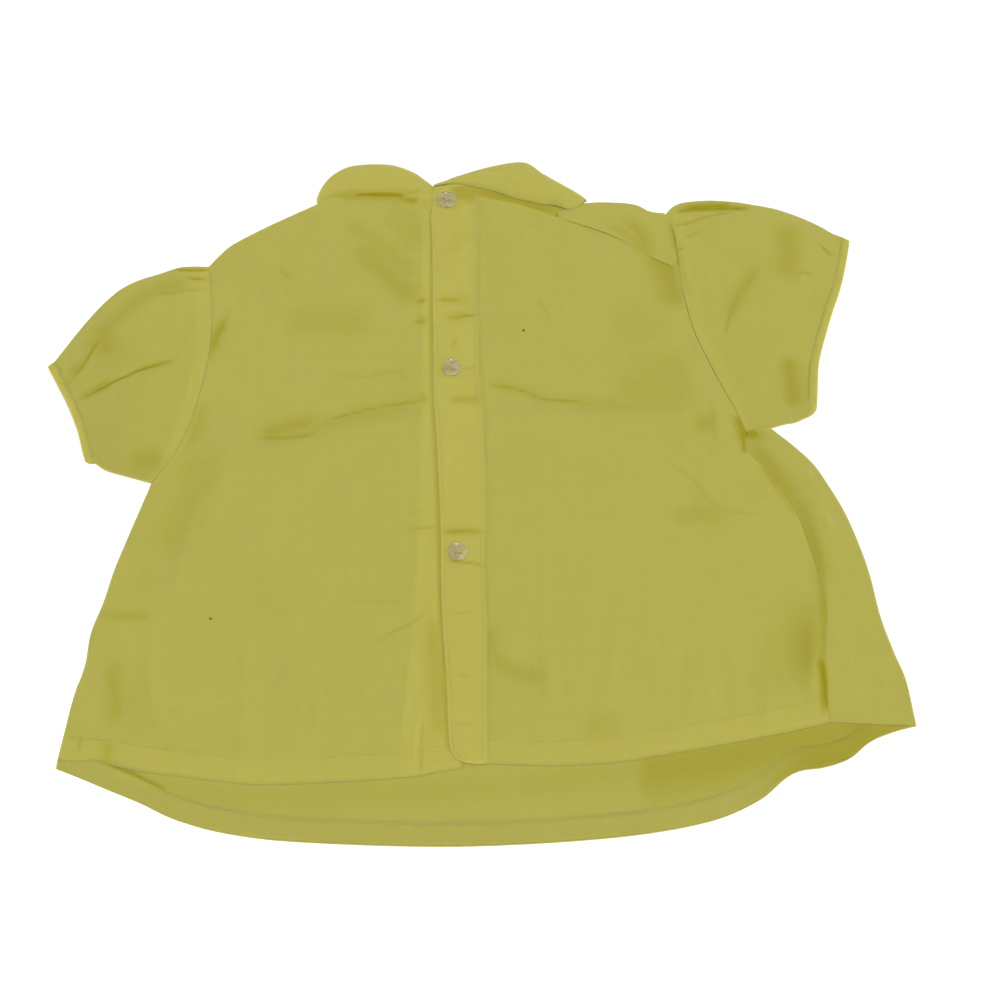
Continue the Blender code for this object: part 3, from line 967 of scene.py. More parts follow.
EDGE_RIGHT = Curve(((156.5, -119.5), (156.2, -97), (157.2, -78), (158.6, -59), (156.6, -48),
                    (152.8, -31), (147.8, -12), (141.2, 3), (134.4, 14), (124.8, 26),
                    (124.5, 38.4)))
ARMHOLE_BACK_RIGHT = Curve(((124.5, 38.4), (119.4, 52.5), (114.3, 63.3), (104.3, 87.9),
                            (100.3, 100.5), (97.1, 116.5), (94.8, 138.5)))

# Where the corner stands on a back's outer line, at the underarm, and on the line of its top.
UNDERARM = 12 / 21
TOP_SHARE = 0.4


# ---------------------------------------------------------------- backs and band

class Border(Enum):
    """The border of a grid of points that is folded over: its first row or first column."""

    FIRST_ROW = 0
    FIRST_COLUMN = 1


ROUNDING = ((88, 0.12), (60, 0.55), (30, 0.85))


def rounded(grid: Grid, border: Border, radius: float) -> Grid:
    """Rounds a border of a grid over, as the folded edge of a hem is.

    Args:
        grid: The grid.
        border: Which border of it.
        radius: Radius of the rounding.

    Returns:
        The grid with a row or column more for each degree and share of plies in ROUNDING.
    """
    def turned(values: Array) -> Array:
        """The values with the border's axis first, or put back again."""
        return values.swapaxes(0, border.value)

    points, weave, plies, crease_shade = map(turned, (grid.points, grid.weave, grid.plies,
                                                 grid.crease_shade))
    out = points[0] - points[1]
    out[:, 2] = 0
    drift = weave[0] - weave[1]
    for way in (out, drift):
        way /= np.linalg.norm(way, axis=1)[:, None] + 1e-9
    down = np.array([0, 0, -1.0])
    rows, threads, layers = [], [], []
    for degrees, share in ROUNDING:
        angle = math.radians(degrees)
        rows.append(points[0] + out * radius * math.sin(angle)
                    + down * radius * (1 - math.cos(angle)))
        threads.append(weave[0] + drift * radius * angle)
        layers.append(plies[0] * share)
    grown = [turned(np.concatenate([np.array(new), old])) for new, old in (
        (rows, points), (threads, weave), (layers, plies), ([crease_shade[0]] * len(rows), crease_shade))]
    return Grid(*grown, grid.facing, grid.closed)


def rolled_off(distance: Array, width: float) -> Array:
    """How a panel's surface rises from its edge, as a quarter of an ellipse."""
    share = np.clip(1 - distance / width, 0, 1)
    return np.sqrt(1 - share * share)


@dataclass(frozen=True)
class Spread:
    """The places of a panel's points, and how far they are from each of its borders."""

    x: Array
    y: Array
    left: Array
    right: Array
    hem: Array
    neck: Array


@dataclass(frozen=True)
class Back(Sewn):
    """What both back panels have: points close together at the borders, waves and a hem.

    Levels are heights over the floor. The zones say how far apart the points are.
    """

    name: str = ""
    width: float = 0.0
    length: float = 0.0
    across: Profile = ()
    up: Profile = ()
    folds: tuple[Fold, ...] = ()
    seeds: tuple[float, float] = (0.0, 0.0)
    hem: float = 13.0
    hem_level: float = 0.95
    hem_fall: float = 34.0
    landing: float = 0.53
    landing_reach: float = 3.6
    armhole_level: float = 2.9
    lowest: float = 0.9
    fold_shift: float = 0.5
    gain: float = -2.1
    crumple_sizes: tuple[float, float] = (17, 7)
    crumple_heights: tuple[float, float] = (0.6, 0.16)

    def patch(self) -> Patch:
        """The panel's outline, which each panel has its own way to say."""
        raise NotImplementedError

    def spread(self) -> Spread:
        """Lays the panel's points out on its outline.

        Returns:
            The points.
        """
        u, v = np.meshgrid(spaced(self.width, *self.across), spaced(self.length, *self.up))
        places = self.patch().at(u, v)
        width = np.linalg.norm(places[:, -1] - places[:, 0], axis=1)[:, None]
        return Spread(places[..., 0], places[..., 1], u * width, (1 - u) * width,
                      v * self.length, (1 - v) * self.length)

    def hem_calm(self, at: Spread) -> Array:
        """How much of its waves the cloth keeps near its stitched hem."""
        return 0.35 + 0.65 * ease(at.hem / 12)

    def waved(self, at: Spread, base: Array, calm: Array) -> tuple[Array, Array]:
        """Lays the folds and the small waves on the cloth.

        Args:
            at: The panel's points.
            base: Their heights without waves.
            calm: How much of the waves each keeps.

        Returns:
            The heights, and the shade that the folds paint.
        """
        lift, crease_shade = relief(self.folds, at.x, at.y + self.fold_shift, self.gain)
        for size, height, seed in zip(self.crumple_sizes, self.crumple_heights, self.seeds):
            lift = lift + crumple(at.x, at.y, size, height, seed)
        return kept_above(self.lowest, base + calm * lift), crease_shade

    def hem_plies(self, at: Spread) -> Array:
        """How many plies thick the cloth is, where its hem is turned up."""
        return 1 + (WEAVE.hem_plies - 1) * ease((self.hem - at.hem) / 0.8 + 0.5)

    def hemmed(self, at: Spread, z: Array, plies: Array, crease_shade: Array) -> list[Grid]:
        """Brings the hem down on what it lies on.

        Args:
            at: The panel's points.
            z: Their heights.
            plies: How many plies thick the cloth is at each.
            crease_shade: How much shade is painted at each.

        Returns:
            The panel's grid.
        """
        z = z + (plies - 1) * WEAVE.ply * WEAVE.hem_swell
        z = self.landing + (z - self.landing) * ease(at.hem / self.landing_reach) ** 0.6
        plies = plies * (0.55 + 0.45 * ease(at.hem / 1.6))
        grid = Grid(np.dstack([at.x, at.y, z]), np.dstack([at.x, at.y]), plies, crease_shade)
        return [rounded(grid, Border.FIRST_ROW, WEAVE.hem_round)]


@dataclass(frozen=True)
class BackLeft(Back):
    """The under back, from the left side seam to the underlap below the button band."""

    name: str = "back_left"
    width: float = 180.0
    length: float = 330.0
    across: Profile = ((7, 0.7), (136, 1.35), (180, 1.0))
    up: Profile = ((1, 0.5), (12, 1.2), (15, 0.6), (318, 1.4), (330, 1.0))
    seeds: tuple[float, float] = (3.1, 8.4)
    level: float = 3.0
    side_level: float = 0.95
    neck_level: float = 3.3
    neck_start: float = -108.0
    underlap: float = 26.0
    underlap_level: float = 2.4
    underlap_calm: float = 0.97
    roll_width: float = 4.0
    armhole_start: float = 9.0
    shoulder_end: float = -97.0
    facing: float = 30.0
    # Pinch and shade rows paint shade: in creases, hollows, under the collar and band edge.
    folds: tuple[Fold, ...] = (
        roll(8, -0.75, (-155, 48), (-157, 12), (-163, -20), (-166, -52)),
        drop(16, 0.9, (-136, 34), (-142, 12), (-150, -2), (-156, -20), (-160, -58), edge=2.6),
        drop(16, 0.9, (-136, -48), (-120, -38), (-108, -22), (-100, 0), (-85, 12), edge=2.6),
        roll(7, -0.54, (-124, -44), (-116, -68), (-109, -97)),
        roll(4.1, -0.54, (-191, -58), (-182, -62), (-165, -64), (-150, -69)),
        roll(9, -1.16, (-180, -82), (-178, -110), (-175, -142), fade=10),
        roll(3.5, 0.68, (-167, -66), (-166, -95), (-162, -118), (-152, -131), (-147, -142)),
        roll(3.2, 0.68, (-191, -86), (-186, -104), (-182.5, -113), (-181, -143), fade=8),
        roll(11, -0.82, (-140, -112), (-136, -126), (-134, -150), fade=6),
        roll(3.5, 0.6, (-120, -58), (-121, -100), (-121, -155), fade=10),
        roll(4, -0.61, (-109, -96), (-109, -145), fade=8),
        roll(6, 0.48, (-95, -55), (-95, -155)),
        pinch(1.8, -0.35, (-63, -81), (-52, -73), (-41, -67), (-33, -56), fade=14),
        roll(5, -0.34, (-38, -60), (-34, -76)),
        pinch(1.4, -0.6, (-48, -17), (-29, -16)),
        pinch(1, -0.3, (-47, -7), (-37, -8)),
        pinch(1.2, -0.3, (-76, -57), (-44, -57)),
        roll(2.4, 0.54, (-33, -103), (-38, -120), (-40.5, -146), fade=6),
        pinch(1.4, -0.5, (-36.6, -116), (-37.2, -152), fade=12),
        pinch(1, -0.5, (-197.6, -124), (-198, -137), fade=5),
        shade(3, 0.5, (-185.4, -126), (-184.8, -134), (-184.6, -143), fade=7),
        shade(9, 0.12, (-174, -34), (-168, -54), fade=8),
        roll(4, -0.41, (-193, -116), (-190, -132)),
        roll(3.2, 0.24, (-85, -58), (-87, -145)),
        roll(3.2, -0.24, (-80, -58), (-80, -140)),
        roll(3.2, 0.24, (-104, -38), (-102, -92)),
        roll(4, 0.34, (-139, -128), (-136, -150), fade=4),
        drop(16, 1.3, (-129, 38), (-110, 40), (-98, 41), (-85, 49), edge=4),
        pinch(1.8, -1, (-127, 34.5), (-110, 35), (-97, 36.5), (-90, 40), fade=12),
        drop(16, 1.3, (-88, 42), (-60, 46), (-36, 49), edge=5),
        pinch(1.5, -0.9, (-93, 43), (-75, 50), (-55, 55), (-34, 57), fade=14),
        pinch(1.4, -0.35, (-88, 73), (-70, 71), (-58, 74), (-50, 72), (-44, 65), fade=14),
        roll(5.5, -0.54, (-86, 154), (-70, 141), (-57, 133), (-46, 121), (-37, 111)),
        roll(4, 0.41, (-79, 177), (-68, 154), (-57, 145)),
        roll(15, -0.54, (-130, 122), (-112, 107)),
        drop(12, 0.5, (-100, 132), (-94, 112), (-87, 100), edge=2.2),
        pinch(1.6, -0.6, (-118, 139), (-108, 128)),
        roll(7, -0.34, (-72, 104), (-50, 104)),
        pinch(1.5, -1, (-140, 113), (-144.5, 102), (-148, 92), (-149.6, 76), fade=18),
        shade(3, 0.8, (-141, 110), (-145, 101), (-148, 92), (-149.6, 80), fade=12),
        roll(12, -0.61, (-149, 58), (-145, 25)),
        drop(11, 0.5, (-135, 63), (-133, 48), (-136, 26), edge=2.2),
        roll(9, -0.6, (-58, 168), (-44, 156)),
        shade(9, 0.25, (-62, 178), (-49, 166), (-41, 148), fade=8),
        shade(2, 0.6, (-88, 182), (-78, 182.8), (-60, 183), (-46, 182.8), fade=8),
        shade(8, 0.15, (-62, 180), (-44, 180)),
        shade(7, 0.45, (-80, 154), (-64, 138), (-50, 124), (-42, 114), fade=12),
        roll(6, -0.9, (-78, 154), (-64, 138), (-50, 124), (-42, 114)),
        pinch(1.4, -0.9, (-55, 183.6), (-49, 181.8), (-43.5, 180.4), fade=4),
        shade(2.6, 0.9, (-57, 184), (-49, 182), (-43, 180.2), fade=4),
        pinch(1.8, -0.9, (-46, 117.4), (-37, 118), fade=4),
        pinch(1.8, -0.9, (-46, 104.4), (-36, 105), fade=4),
        shade(3, 0.6, (-44, 118), (-38, 118), fade=4),
        shade(3, 0.6, (-44, 105), (-37, 105), fade=4),
        shade(3, 0.6, (-42, 57.5), (-36, 58), fade=4),
        roll(6, -0.6, (-38, -50), (-35, -96), (-32, -136), fade=20),
        shade(4.5, 0.4, (-33, -60), (-31, -95), (-28, -132), fade=14),
        shade(1.2, 0.6, (-37.2, 178), (-36.3, 150), (-35.7, 100), (-34.2, 50), (-31.3, 0),
              (-29.4, -50), (-27, -100), (-25, -128), (-23.2, -137), fade=6),
        shade(4, 0.25, (-41, 184), (-39, 172), fade=5),
        shade(4, 0.45, (-187, -84), (-184, -104), (-182, -126), fade=14),
        shade(2.6, 0.4, (-196, -64), (-182, -65), (-168, -65)),
        shade(4.5, 0.6, (-125, 37), (-112, 40), (-100, 44), (-91, 45.5), fade=10),
        shade(3.5, 0.4, (-150.5, 60), (-153, 42), (-158, 26), fade=12),
        roll(6, -0.5, (-41, 134), (-40, 112), (-40, 96)),
        shade(6, 0.3, (-86, 172), (-70, 158), (-58, 146), (-40, 126), fade=16),
        shade(5, 0.3, (-127, 33), (-110, 35), (-90, 42), (-70, 49), (-40, 55), fade=16),
        shade(8, 0.15, (-178, -88), (-177, -108), (-172, -132), fade=20),
        shade(10, 0.25, (-115, 106), (-100, 104), (-64, 106), fade=12),
        shade(10, 0.25, (-148, 34), (-158, -8), (-172, -36), fade=20),
    )

    def patch(self) -> Patch:
        """The outline, from the hem's corner up the side seam and round the armhole.

        Returns:
            The outline.
        """
        side = Curve(((-207.8, -138.5), *map(tuple, SIDE_LEFT(np.linspace(0.12, 1, 9)))))
        return Patch(HEM_BACK_LEFT, chained(SHOULDER_LEFT, NECK_BACK_LEFT, TOP_SHARE),
                     chained(side, ARMHOLE_LEFT, UNDERARM), UNDERLAP_EDGE)

    def grids(self) -> list[Grid]:
        """Lays the panel over the front.

        Returns:
            Its grid.
        """
        at = self.spread()
        x, y = at.x, at.y
        base = self.level + (self.hem_level - self.level) * (1 - ease(at.hem / self.hem_fall))
        base += ((self.neck_level - self.level) * (1 - ease(at.neck / 20))
                 * ease((x - self.neck_start) / 12))
        under = ease((self.underlap - at.right) / 12)
        lapped = self.hem_level + (self.underlap_level - self.hem_level) * ease(at.hem / 30)
        base += (lapped - base) * under
        calm = (ease((at.left - 1) / 7) * (1 - self.underlap_calm * under)
                * self.hem_calm(at))
        z, crease_shade = self.waved(at, base, calm)
        side = self.side_level + (z - self.side_level) * rolled_off(at.left, self.roll_width)
        seam = self.armhole_level + (z - self.armhole_level) * ease(at.left / 9)
        seam = seam - 0.03 * (1 - rolled_off(at.left, 0.5))
        z = side + (seam - side) * ease((y - self.armhole_start) / 16)
        shoulder = np.where(x < self.shoulder_end, at.neck, 99.0)
        z = self.side_level + (z - self.side_level) * rolled_off(shoulder + 0.02, self.roll_width)
        plies = np.maximum(self.hem_plies(at), 1 + 0.9 * ease((self.facing - at.right) / 1.2))
        return self.hemmed(at, z, plies, crease_shade)


@dataclass(frozen=True)
class ButtonBand(Sewn):
    """The folded band over the underlap, on which the fastened buttons lie.

    It drops by hem_drop from its level to its hem, at hem_place.
    """

    name: str = "button_band"
    width: float = 26.0
    length: float = 329.0
    across: Profile = ((2, 0.7), (23, 1.2), (26, 0.6))
    up: Profile = ((14, 0.9), (318, 1.35), (329, 1.1))
    level: float = 4.0
    hem_place: float = -140.0
    hem_drop: float = 1.95
    plies: float = 2.6
    seam_plies: float = 0.45
    roundness: float = 0.4
    gain: float = -1.2
    fold_shift: float = 1.1
    # Pinch and shade rows paint shade into the band's creases and under the collar.
    folds: tuple[Fold, ...] = (
        pinch(1.8, -0.9, (-36, 118), (-18, 118)),
        pinch(1.8, -1, (-30, 106), (-24, 107.5), (-10, 108.5)),
        roll(2.6, -0.9, (-26, 91), (-21, 90), fade=2),
        shade(4, 0.35, (-34, 118), (-14, 118)),
        shade(4, 0.35, (-32, 107), (-14, 108)),
        shade(3, 0.45, (-26, 91), (-21, 90), fade=2),
        shade(10, 0.22, (-30, 158), (-16, 150), fade=8),
        shade(4, 0.8, (-27, 186), (-20, 185), (-11, 183), fade=5),
        pinch(1.2, -0.5, (-20, 75.5), (-11, 77)),
        pinch(1.4, -0.6, (-29, 57), (-6, 58)),
        roll(2.5, -0.4, (-24, 52), (-8, 52)),
        roll(3, -0.35, (-30, 25), (-22, 24)),
        pinch(1.8, -1, (-31, -18.4), (-6, -18.4)),
        shade(2.6, 0.5, (-31, -18.4), (-8, -18.4)),
        pinch(1.2, -0.8, (-28, -34.5), (-12, -36), (-5, -39)),
        pinch(1.4, -0.4, (-28, -62.4), (-10, -63)),
        shade(2.6, 0.5, (-28, 57), (-8, 58)),
        roll(3, 0.3, (-26, -57), (-12, -57)),
        pinch(1.4, -0.4, (-22, -94), (-12, -97)),
        pinch(1.4, -0.4, (-24, -120), (-8, -120)),
        roll(5, -0.6, (-12, 160), (-16, 146), (-26, 138), (-38, 137)),
        roll(4, 0.4, (-34, 129), (-12, 127)),
        roll(3, 0.3, (-30, 98), (-12, 98)),
        roll(4, 0.3, (-28, 40), (-10, 40)),
    )

    def grids(self) -> list[Grid]:
        """Lays the band over the underlap.

        Returns:
            Its grid.
        """
        patch = Patch(Curve(((-16.5, -140.2), (-11, -140.7), (-5.8, -140.3))),
                      Curve(((-36.2, 186.4), (-24, 185.8), (-11.9, 184.2))), BAND_EDGE, BAND_SEAM)
        u, v = np.meshgrid(spaced(self.width, *self.across), spaced(self.length, *self.up))
        places = patch.at(u, v)
        x, y = places[..., 0], places[..., 1]
        from_edge, from_seam = u * self.width, (1 - u) * self.width
        lift, crease_shade = relief(self.folds, x, y + self.fold_shift, self.gain)
        z = (self.level - self.hem_drop * (1 - ease((y - self.hem_place) / 30))
             + lift * ease((from_edge + 1) / 4)
             + crumple(x, y, 12, 0.35, 5.5) + crumple(x, y, 4.5, 0.10, 9.1))
        z -= (0.55 * (1 - rolled_off(from_edge, 1.6))
              + 0.5 * (1 - rolled_off(v * self.length, 2.0)))
        plies = self.plies + (self.seam_plies - self.plies) * ease((2.4 - from_seam) / 2.0)
        grid = Grid(np.dstack([x, y, z]), places.copy(), plies, crease_shade)
        for border in (Border.FIRST_COLUMN, Border.FIRST_ROW):
            grid = rounded(grid, border, self.roundness)
        return [grid]


@dataclass(frozen=True)
class BackRight(Back):
    """The upper back, from the band's seam to the right side, where its edge rolls over."""

    name: str = "back_right"
    width: float = 163.0
    length: float = 322.0
    across: Profile = ((4, 0.7), (150, 1.35), (159, 0.9), (163, 0.5))
    up: Profile = ((1, 0.5), (12, 1.2), (15, 0.6), (310, 1.4), (322, 0.9))
    seeds: tuple[float, float] = (12.7, 2.2)
    hem: float = 12.5
    level: float = 3.2
    band_level: float = 3.62
    edge_level: float = 3.85
    neck_level: float = 3.5
    sewn_start: float = 38.0
    free_end: float = 20.0
    edge_drop: float = 0.32
    sewn_drop: float = 0.03
    # Pinch and shade rows paint shade: in creases, hollows, the underarm and the right trough.
    folds: tuple[Fold, ...] = (
        roll(5, -0.34, (-4, 160), (-5, 120), (-3, 56)),
        pinch(1.4, -0.3, (18.5, 122), (23, 112), (28, 104)),
        roll(16, -0.68, (84, 90), (100, 72)),
        roll(12, -0.34, (58, 74), (88, 68)),
        pinch(1.5, -0.9, (-11, 67), (0, 66), (13, 63), (21, 58.5), (35, 57.3), (49, 57.5), fade=12),
        shade(3, 0.3, (-11, 67), (0, 66), (13, 63), (21, 58.5), (35, 57), (49, 57), fade=10),
        drop(16, 1.4, (-9, 52), (40, 53), (70, 54), (98, 53), edge=4.6),
        roll(4, -0.41, (23, 70), (30, 59), fade=5),
        roll(6, -0.41, (55, 54), (70, 53)),
        roll(6, -0.34, (-8, 54), (4, 53)),
        roll(5, -0.75, (104, 57), (104.5, 36)),
        drop(7, 0.7, (109, 60), (109, 28), edge=1.1),
        pinch(2.4, -2.2, (123, 50), (123.5, 24), fade=5),
        roll(4, -0.34, (119, 50), (116, 38)),
        drop(14, -0.7, (78.5, 150), (78, 122), edge=1.6),
        roll(10, 0.34, (40, 84), (30, 76)),
        pinch(1.4, -0.3, (82.5, 27), (88, 18), (95, 12), (101, 5), (106, -4), (114, -7.6),
              (132, -9.6), fade=14),
        roll(5, -0.41, (92, 6), (104, -7)),
        roll(6, -0.41, (128, 6), (140, 3)),
        pinch(1.3, -0.5, (90, -11), (108, -11)),
        roll(5, -0.54, (62, -43), (55, -58), (49, -78)),
        roll(3.5, 0.54, (58.5, -64), (54, -90), (51, -114)),
        roll(8, -0.68, (36, -121), (64, -124)),
        drop(12, 0.6, (33, -111.5), (50, -117.5), (68, -119), edge=2),
        roll(3.2, -0.61, (88, -74), (86, -124)),
        roll(4, -0.61, (101, -68), (107, -95), (106, -126)),
        roll(7, 0.48, (114, -98), (126, -98)),
        roll(5, -0.48, (-4, -62), (-3, -84), (12, -92), (32, -101)),
        roll(10, -1.22, (141, -56), (142, -85), (139, -106)),
        roll(3.5, 0.61, (135, -58), (129, -92), (126, -130)),
        roll(4.4, 0.88, (152, -60), (150, -88), (147.5, -116)),
        pinch(1.8, -2, (153.6, -82), (154.6, -100), (155, -117), fade=12),
        shade(3, 1.3, (153, -84), (155, -98), (155.6, -117), fade=8),
        shade(10, 0.58, (147, -50), (147, -84), (146, -110), fade=30),
        shade(3, 0.7, (152, -6), (156, -28), (157.4, -52), (156, -84), (155.4, -116), fade=14),
        roll(4.1, 0.48, (138, -105), (151, -114)),
        roll(3, 0.24, (20, -50), (24, -120)),
        roll(3, -0.24, (14, -40), (17, -110)),
        roll(3.2, 0.2, (72, -30), (74, -110)),
        roll(4.1, 0.24, (112, -30), (118, -84)),
        roll(4.1, -0.27, (118, -56), (114, -100)),
        roll(9, 0.34, (24, 6), (22, -20)),
        shade(20, 0.26, (66, 64), (88, 72), (102, 78), fade=12),
        shade(11, 0.32, (58, 63), (76, 64), (92, 62), fade=10),
        shade(3.6, 1.1, (121, 50), (123, 42), (124.6, 30)),
        shade(2.6, 0.9, (131, 22), (136, 12), (142, 3), (147, -6), (150, -14), fade=8),
        shade(4, 0.3, (30, 57), (50, 55), (75, 53), (98, 52), fade=12),
        shade(8, 0.25, (38, -121), (60, -124), fade=8),
        shade(13, 0.2, (52, 102), (68, 102), (86, 92), fade=12),
        shade(8, 0.6, (72, 162), (83, 148), (89, 128), (93, 108), fade=14),
        roll(7, -0.9, (78, 156), (84, 146), (89, 126), (92, 110)),
        shade(5, 0.5, (103, 52), (104, 34), fade=8),
        shade(5, 0.4, (-6, -66), (-2, -88), (14, -96), (26, -98), fade=10),
        shade(7, 0.25, (133, -62), (131, -90), (129, -112), fade=20),
        shade(6, 0.3, (82, -12), (100, -8), (116, -14), fade=12),
        roll(3, -0.5, (-8, 170), (-9, 140), (-9, 96), fade=16),
        roll(6, -1, (132, -62), (131, -92), (129, -110), fade=20),
    )

    def patch(self) -> Patch:
        """The outline, from the hem's corner up the rolled edge and round the armhole."""
        return Patch(HEM_BACK_RIGHT, chained(NECK_BACK_RIGHT, ROLL_SEAM, TOP_SHARE), UNDER_BAND,
                     chained(EDGE_RIGHT, ARMHOLE_BACK_RIGHT, UNDERARM))

    def grids(self) -> list[Grid]:
        """Lays the panel over the front.

        Returns:
            Its grid.
        """
        at = self.spread()
        x, y = at.x, at.y
        base = self.level + (self.band_level - self.level) * (1 - ease((at.left - 2) / 34))
        free = ease((self.free_end + 22 - y) / 22)
        edge = np.where(y > self.free_end, self.armhole_level
                        + (self.edge_level - self.armhole_level) * free, self.edge_level)
        base = edge + (base - edge) * ease(at.right / 24)
        base = self.hem_level + (base - self.hem_level) * ease(at.hem / self.hem_fall) ** 0.8
        base += (self.neck_level - 0.6 * ease((x - 26) / 20) - base) * (1 - ease(at.neck / 18))
        sewn = ease((y - self.sewn_start) / 6)
        calm = (ease((at.left - 1.5) / 6) * self.hem_calm(at)
                * (0.25 * (1 - sewn) + (0.75 + 0.25 * sewn) * ease((at.right - 0.5) / 5)))
        z, crease_shade = self.waved(at, base, calm)
        drop_there = self.edge_drop - (self.edge_drop - self.sewn_drop) * sewn
        z = z - drop_there * (1 - rolled_off(at.right, 0.5))
        return self.hemmed(at, z, self.hem_plies(at), crease_shade)


# ---------------------------------------------------------------- front

def turned_over(fold: Array, seam: Array, radius: Array,
                steps: int) -> tuple[list[Array], Array, Array, Array]:
    """Leads cloth half a turn round a fold, from below it to its top.

    Args:
        fold: Flat places along the fold.
        seam: For each of them, the place that the cloth goes on to.
        radius: For each of them, the radius of the turn.
        steps: How many steps the turn has.

    Returns:
        The rows of points round the turn, its centres, the flat directions from there to the
        seam, and how far that is.
    """
    run = seam - fold
    length = np.linalg.norm(run, axis=1)
    inward = run / length[:, None]
    centre = fold + inward * radius[:, None]
    rows = []
    for angle in np.linspace(-math.pi / 2, math.pi / 2, steps + 1):
        flat = centre - inward * (radius * math.cos(angle))[:, None]
        rows.append(np.column_stack([flat, radius * (1 + math.sin(angle))]))
    return rows, centre, inward, length - radius


@dataclass(frozen=True)
class Front(Sewn):
    """The front, turned over along the right side and rolled over the right shoulder.

    The profiles of the side go by the share from hem to underarm, and those of the roll by the
    share from the neck to the armhole.
    """

    name: str = "front"
    fold_right: Curve = Curve(((197.2, -121.5), (194.3, -98.6), (189.8, -84.2), (184.7, -65.2),
                               (181.2, -42.5), (177.4, -26.6), (171.8, -8.8), (165, 6),
                               (157.8, 19.2), (148, 30.2), (137.9, 39.6)))
    shoulder: Curve = Curve(((28, 174), (38, 178), (49, 180), (62, 180), (69, 179.4), (74.5, 178),
                             (80, 174.6), (88, 173.5)))
    armhole: Curve = ARMHOLE_RIGHT
    neck: Curve = Curve(((-99, 179.5), (-78, 166), (-38, 158), (2, 163), (28, 174)))
    hem_line: Curve = Curve(((-208.2, -143), (-199.9, -146.2), (-184.4, -152.8), (-167.5, -159.9),
                             (-150, -168.2), (-125, -175), (-90, -179), (-20, -181), (50, -177),
                             (95, -169.5), (120, -159), (133, -148.2), (141, -143.9),
                             (152.5, -142.2), (164.5, -137.8), (174.1, -129.8), (184, -125.2),
                             (195, -121.8)))
    side_radius: Profile = ((0, 0.36), (0.02, 0.55), (0.12, 1.0), (0.4, 1.9), (1.0, 1.9))
    seam_shift: Profile = ((0, -1.6), (0.9, -1.6), (1, 0.6))
    seam_level: Profile = ((0, 0.72), (0.02, 1.0), (0.07, 1.7), (0.2, 3.0), (0.36, 3.4), (0.5, 2.7),
                           (0.62, 2.3), (0.8, 2), (1, 1.7))
    ridge_place: Profile = ((0, 3.0), (0.36, 3.2), (0.45, 5.0), (0.58, 9.0), (0.66, 12.0),
                            (0.7, 17), (0.86, 18), (1, 9))
    ridge_level: Profile = ((0, 0.74), (0.02, 1.2), (0.1, 2.5), (0.36, 4.0), (0.5, 5.2),
                            (0.62, 5.9), (0.68, 5.2), (0.75, 4.2), (1, 3.7))
    roll_radius: Profile = ((0.04, 1.3), (0.2, 1.6), (0.4, 1.9), (0.7, 1.8), (1.0, 1.2))
    roll_lip: Profile = ((0.04, 3.5), (0.3, 3.4), (0.42, 3.1), (0.6, 2.7), (0.78, 2.1), (1.0, 1.8))
    roll_crown: Profile = ((0.04, 0.2), (0.25, 1.1), (0.6, 1.5), (0.85, 0.9), (1.0, 0.1))
    roll_start: float = 0.04
    arc_steps: int = 8
    side_rows: int = 118
    side_columns: int = 44
    arm_rows: int = 62
    roll_rows: int = 34
    roll_columns: int = 22
    neck_columns: int = 60
    side_gain: float = -1.2
    roll_gain: float = -1.0
    # Shade rows paint shade alone, in the underarm pocket and the trough by the back's edge.
    folds: tuple[Fold, ...] = (
        drop(12, -0.6, (170, -58), (168, -92), edge=2),
        roll(1.2, 0.4, (171, -82), (166, -95), fade=4),
        roll(7, -0.8, (176, -106), (186, -110)),
        roll(2.2, 0.6, (164, -97), (194, -100)),
        roll(6, 0.6, (166, -28), (165, -50)),
        roll(4, -0.6, (172, -66), (174, -92)),
        roll(2, 0.9, (161.5, -8), (162.5, -19), fade=3),
        roll(5, 0.6, (152, 20), (158, 6)),
        shade(3.4, 1.3, (124, 40), (127, 37), (132, 38), fade=3),
        shade(4, 0.5, (127, 33), (136, 39.6), fade=4),
        shade(4, 0.5, (144, 6), (150, -6), (154.6, -22), (157, -38), (158, -52), fade=14),
        shade(4, 0.5, (127, 34), (134, 22), (142, 10), (148, -4), fade=8),
    )
    # Shade rows paint shade along the rolled shoulder's crease and by the armhole.
    roll_folds: tuple[Fold, ...] = (
        roll(4.5, -0.8, (60, 168), (70, 168), (76, 158), (79, 146), fade=10),
        shade(4, 0.55, (62, 168), (70, 167), (76, 157), (79, 143), fade=12),
        shade(2.6, 0.45, (56, 165.6), (67, 160.5), (75, 153), (80, 146), fade=8),
        shade(2.5, 1, (88.5, 170), (90.4, 166), (92, 160), (94, 148), fade=8),
    )
    # Painted shade alone on the front's inside, under the hems and in the hem's gape.
    inside_folds: tuple[Fold, ...] = (
        shade(14, 0.7, (60, -146), (100, -140), (135, -130), (165, -124), (198, -121), fade=10),
        shade(7, 0.7, (150, -133), (176, -126.5), (197, -121), fade=8),
        shade(2.6, 1.5, (-190, -140.5), (-178, -145.4), (-168, -150.2), (-156, -156), fade=4),
        shade(6, 0.35, (-207, -142), (-190, -146), fade=8),
        shade(7, 0.22, (-180, -150), (-120, -158), (-60, -156), (20, -150), (100, -140), fade=40),
    )

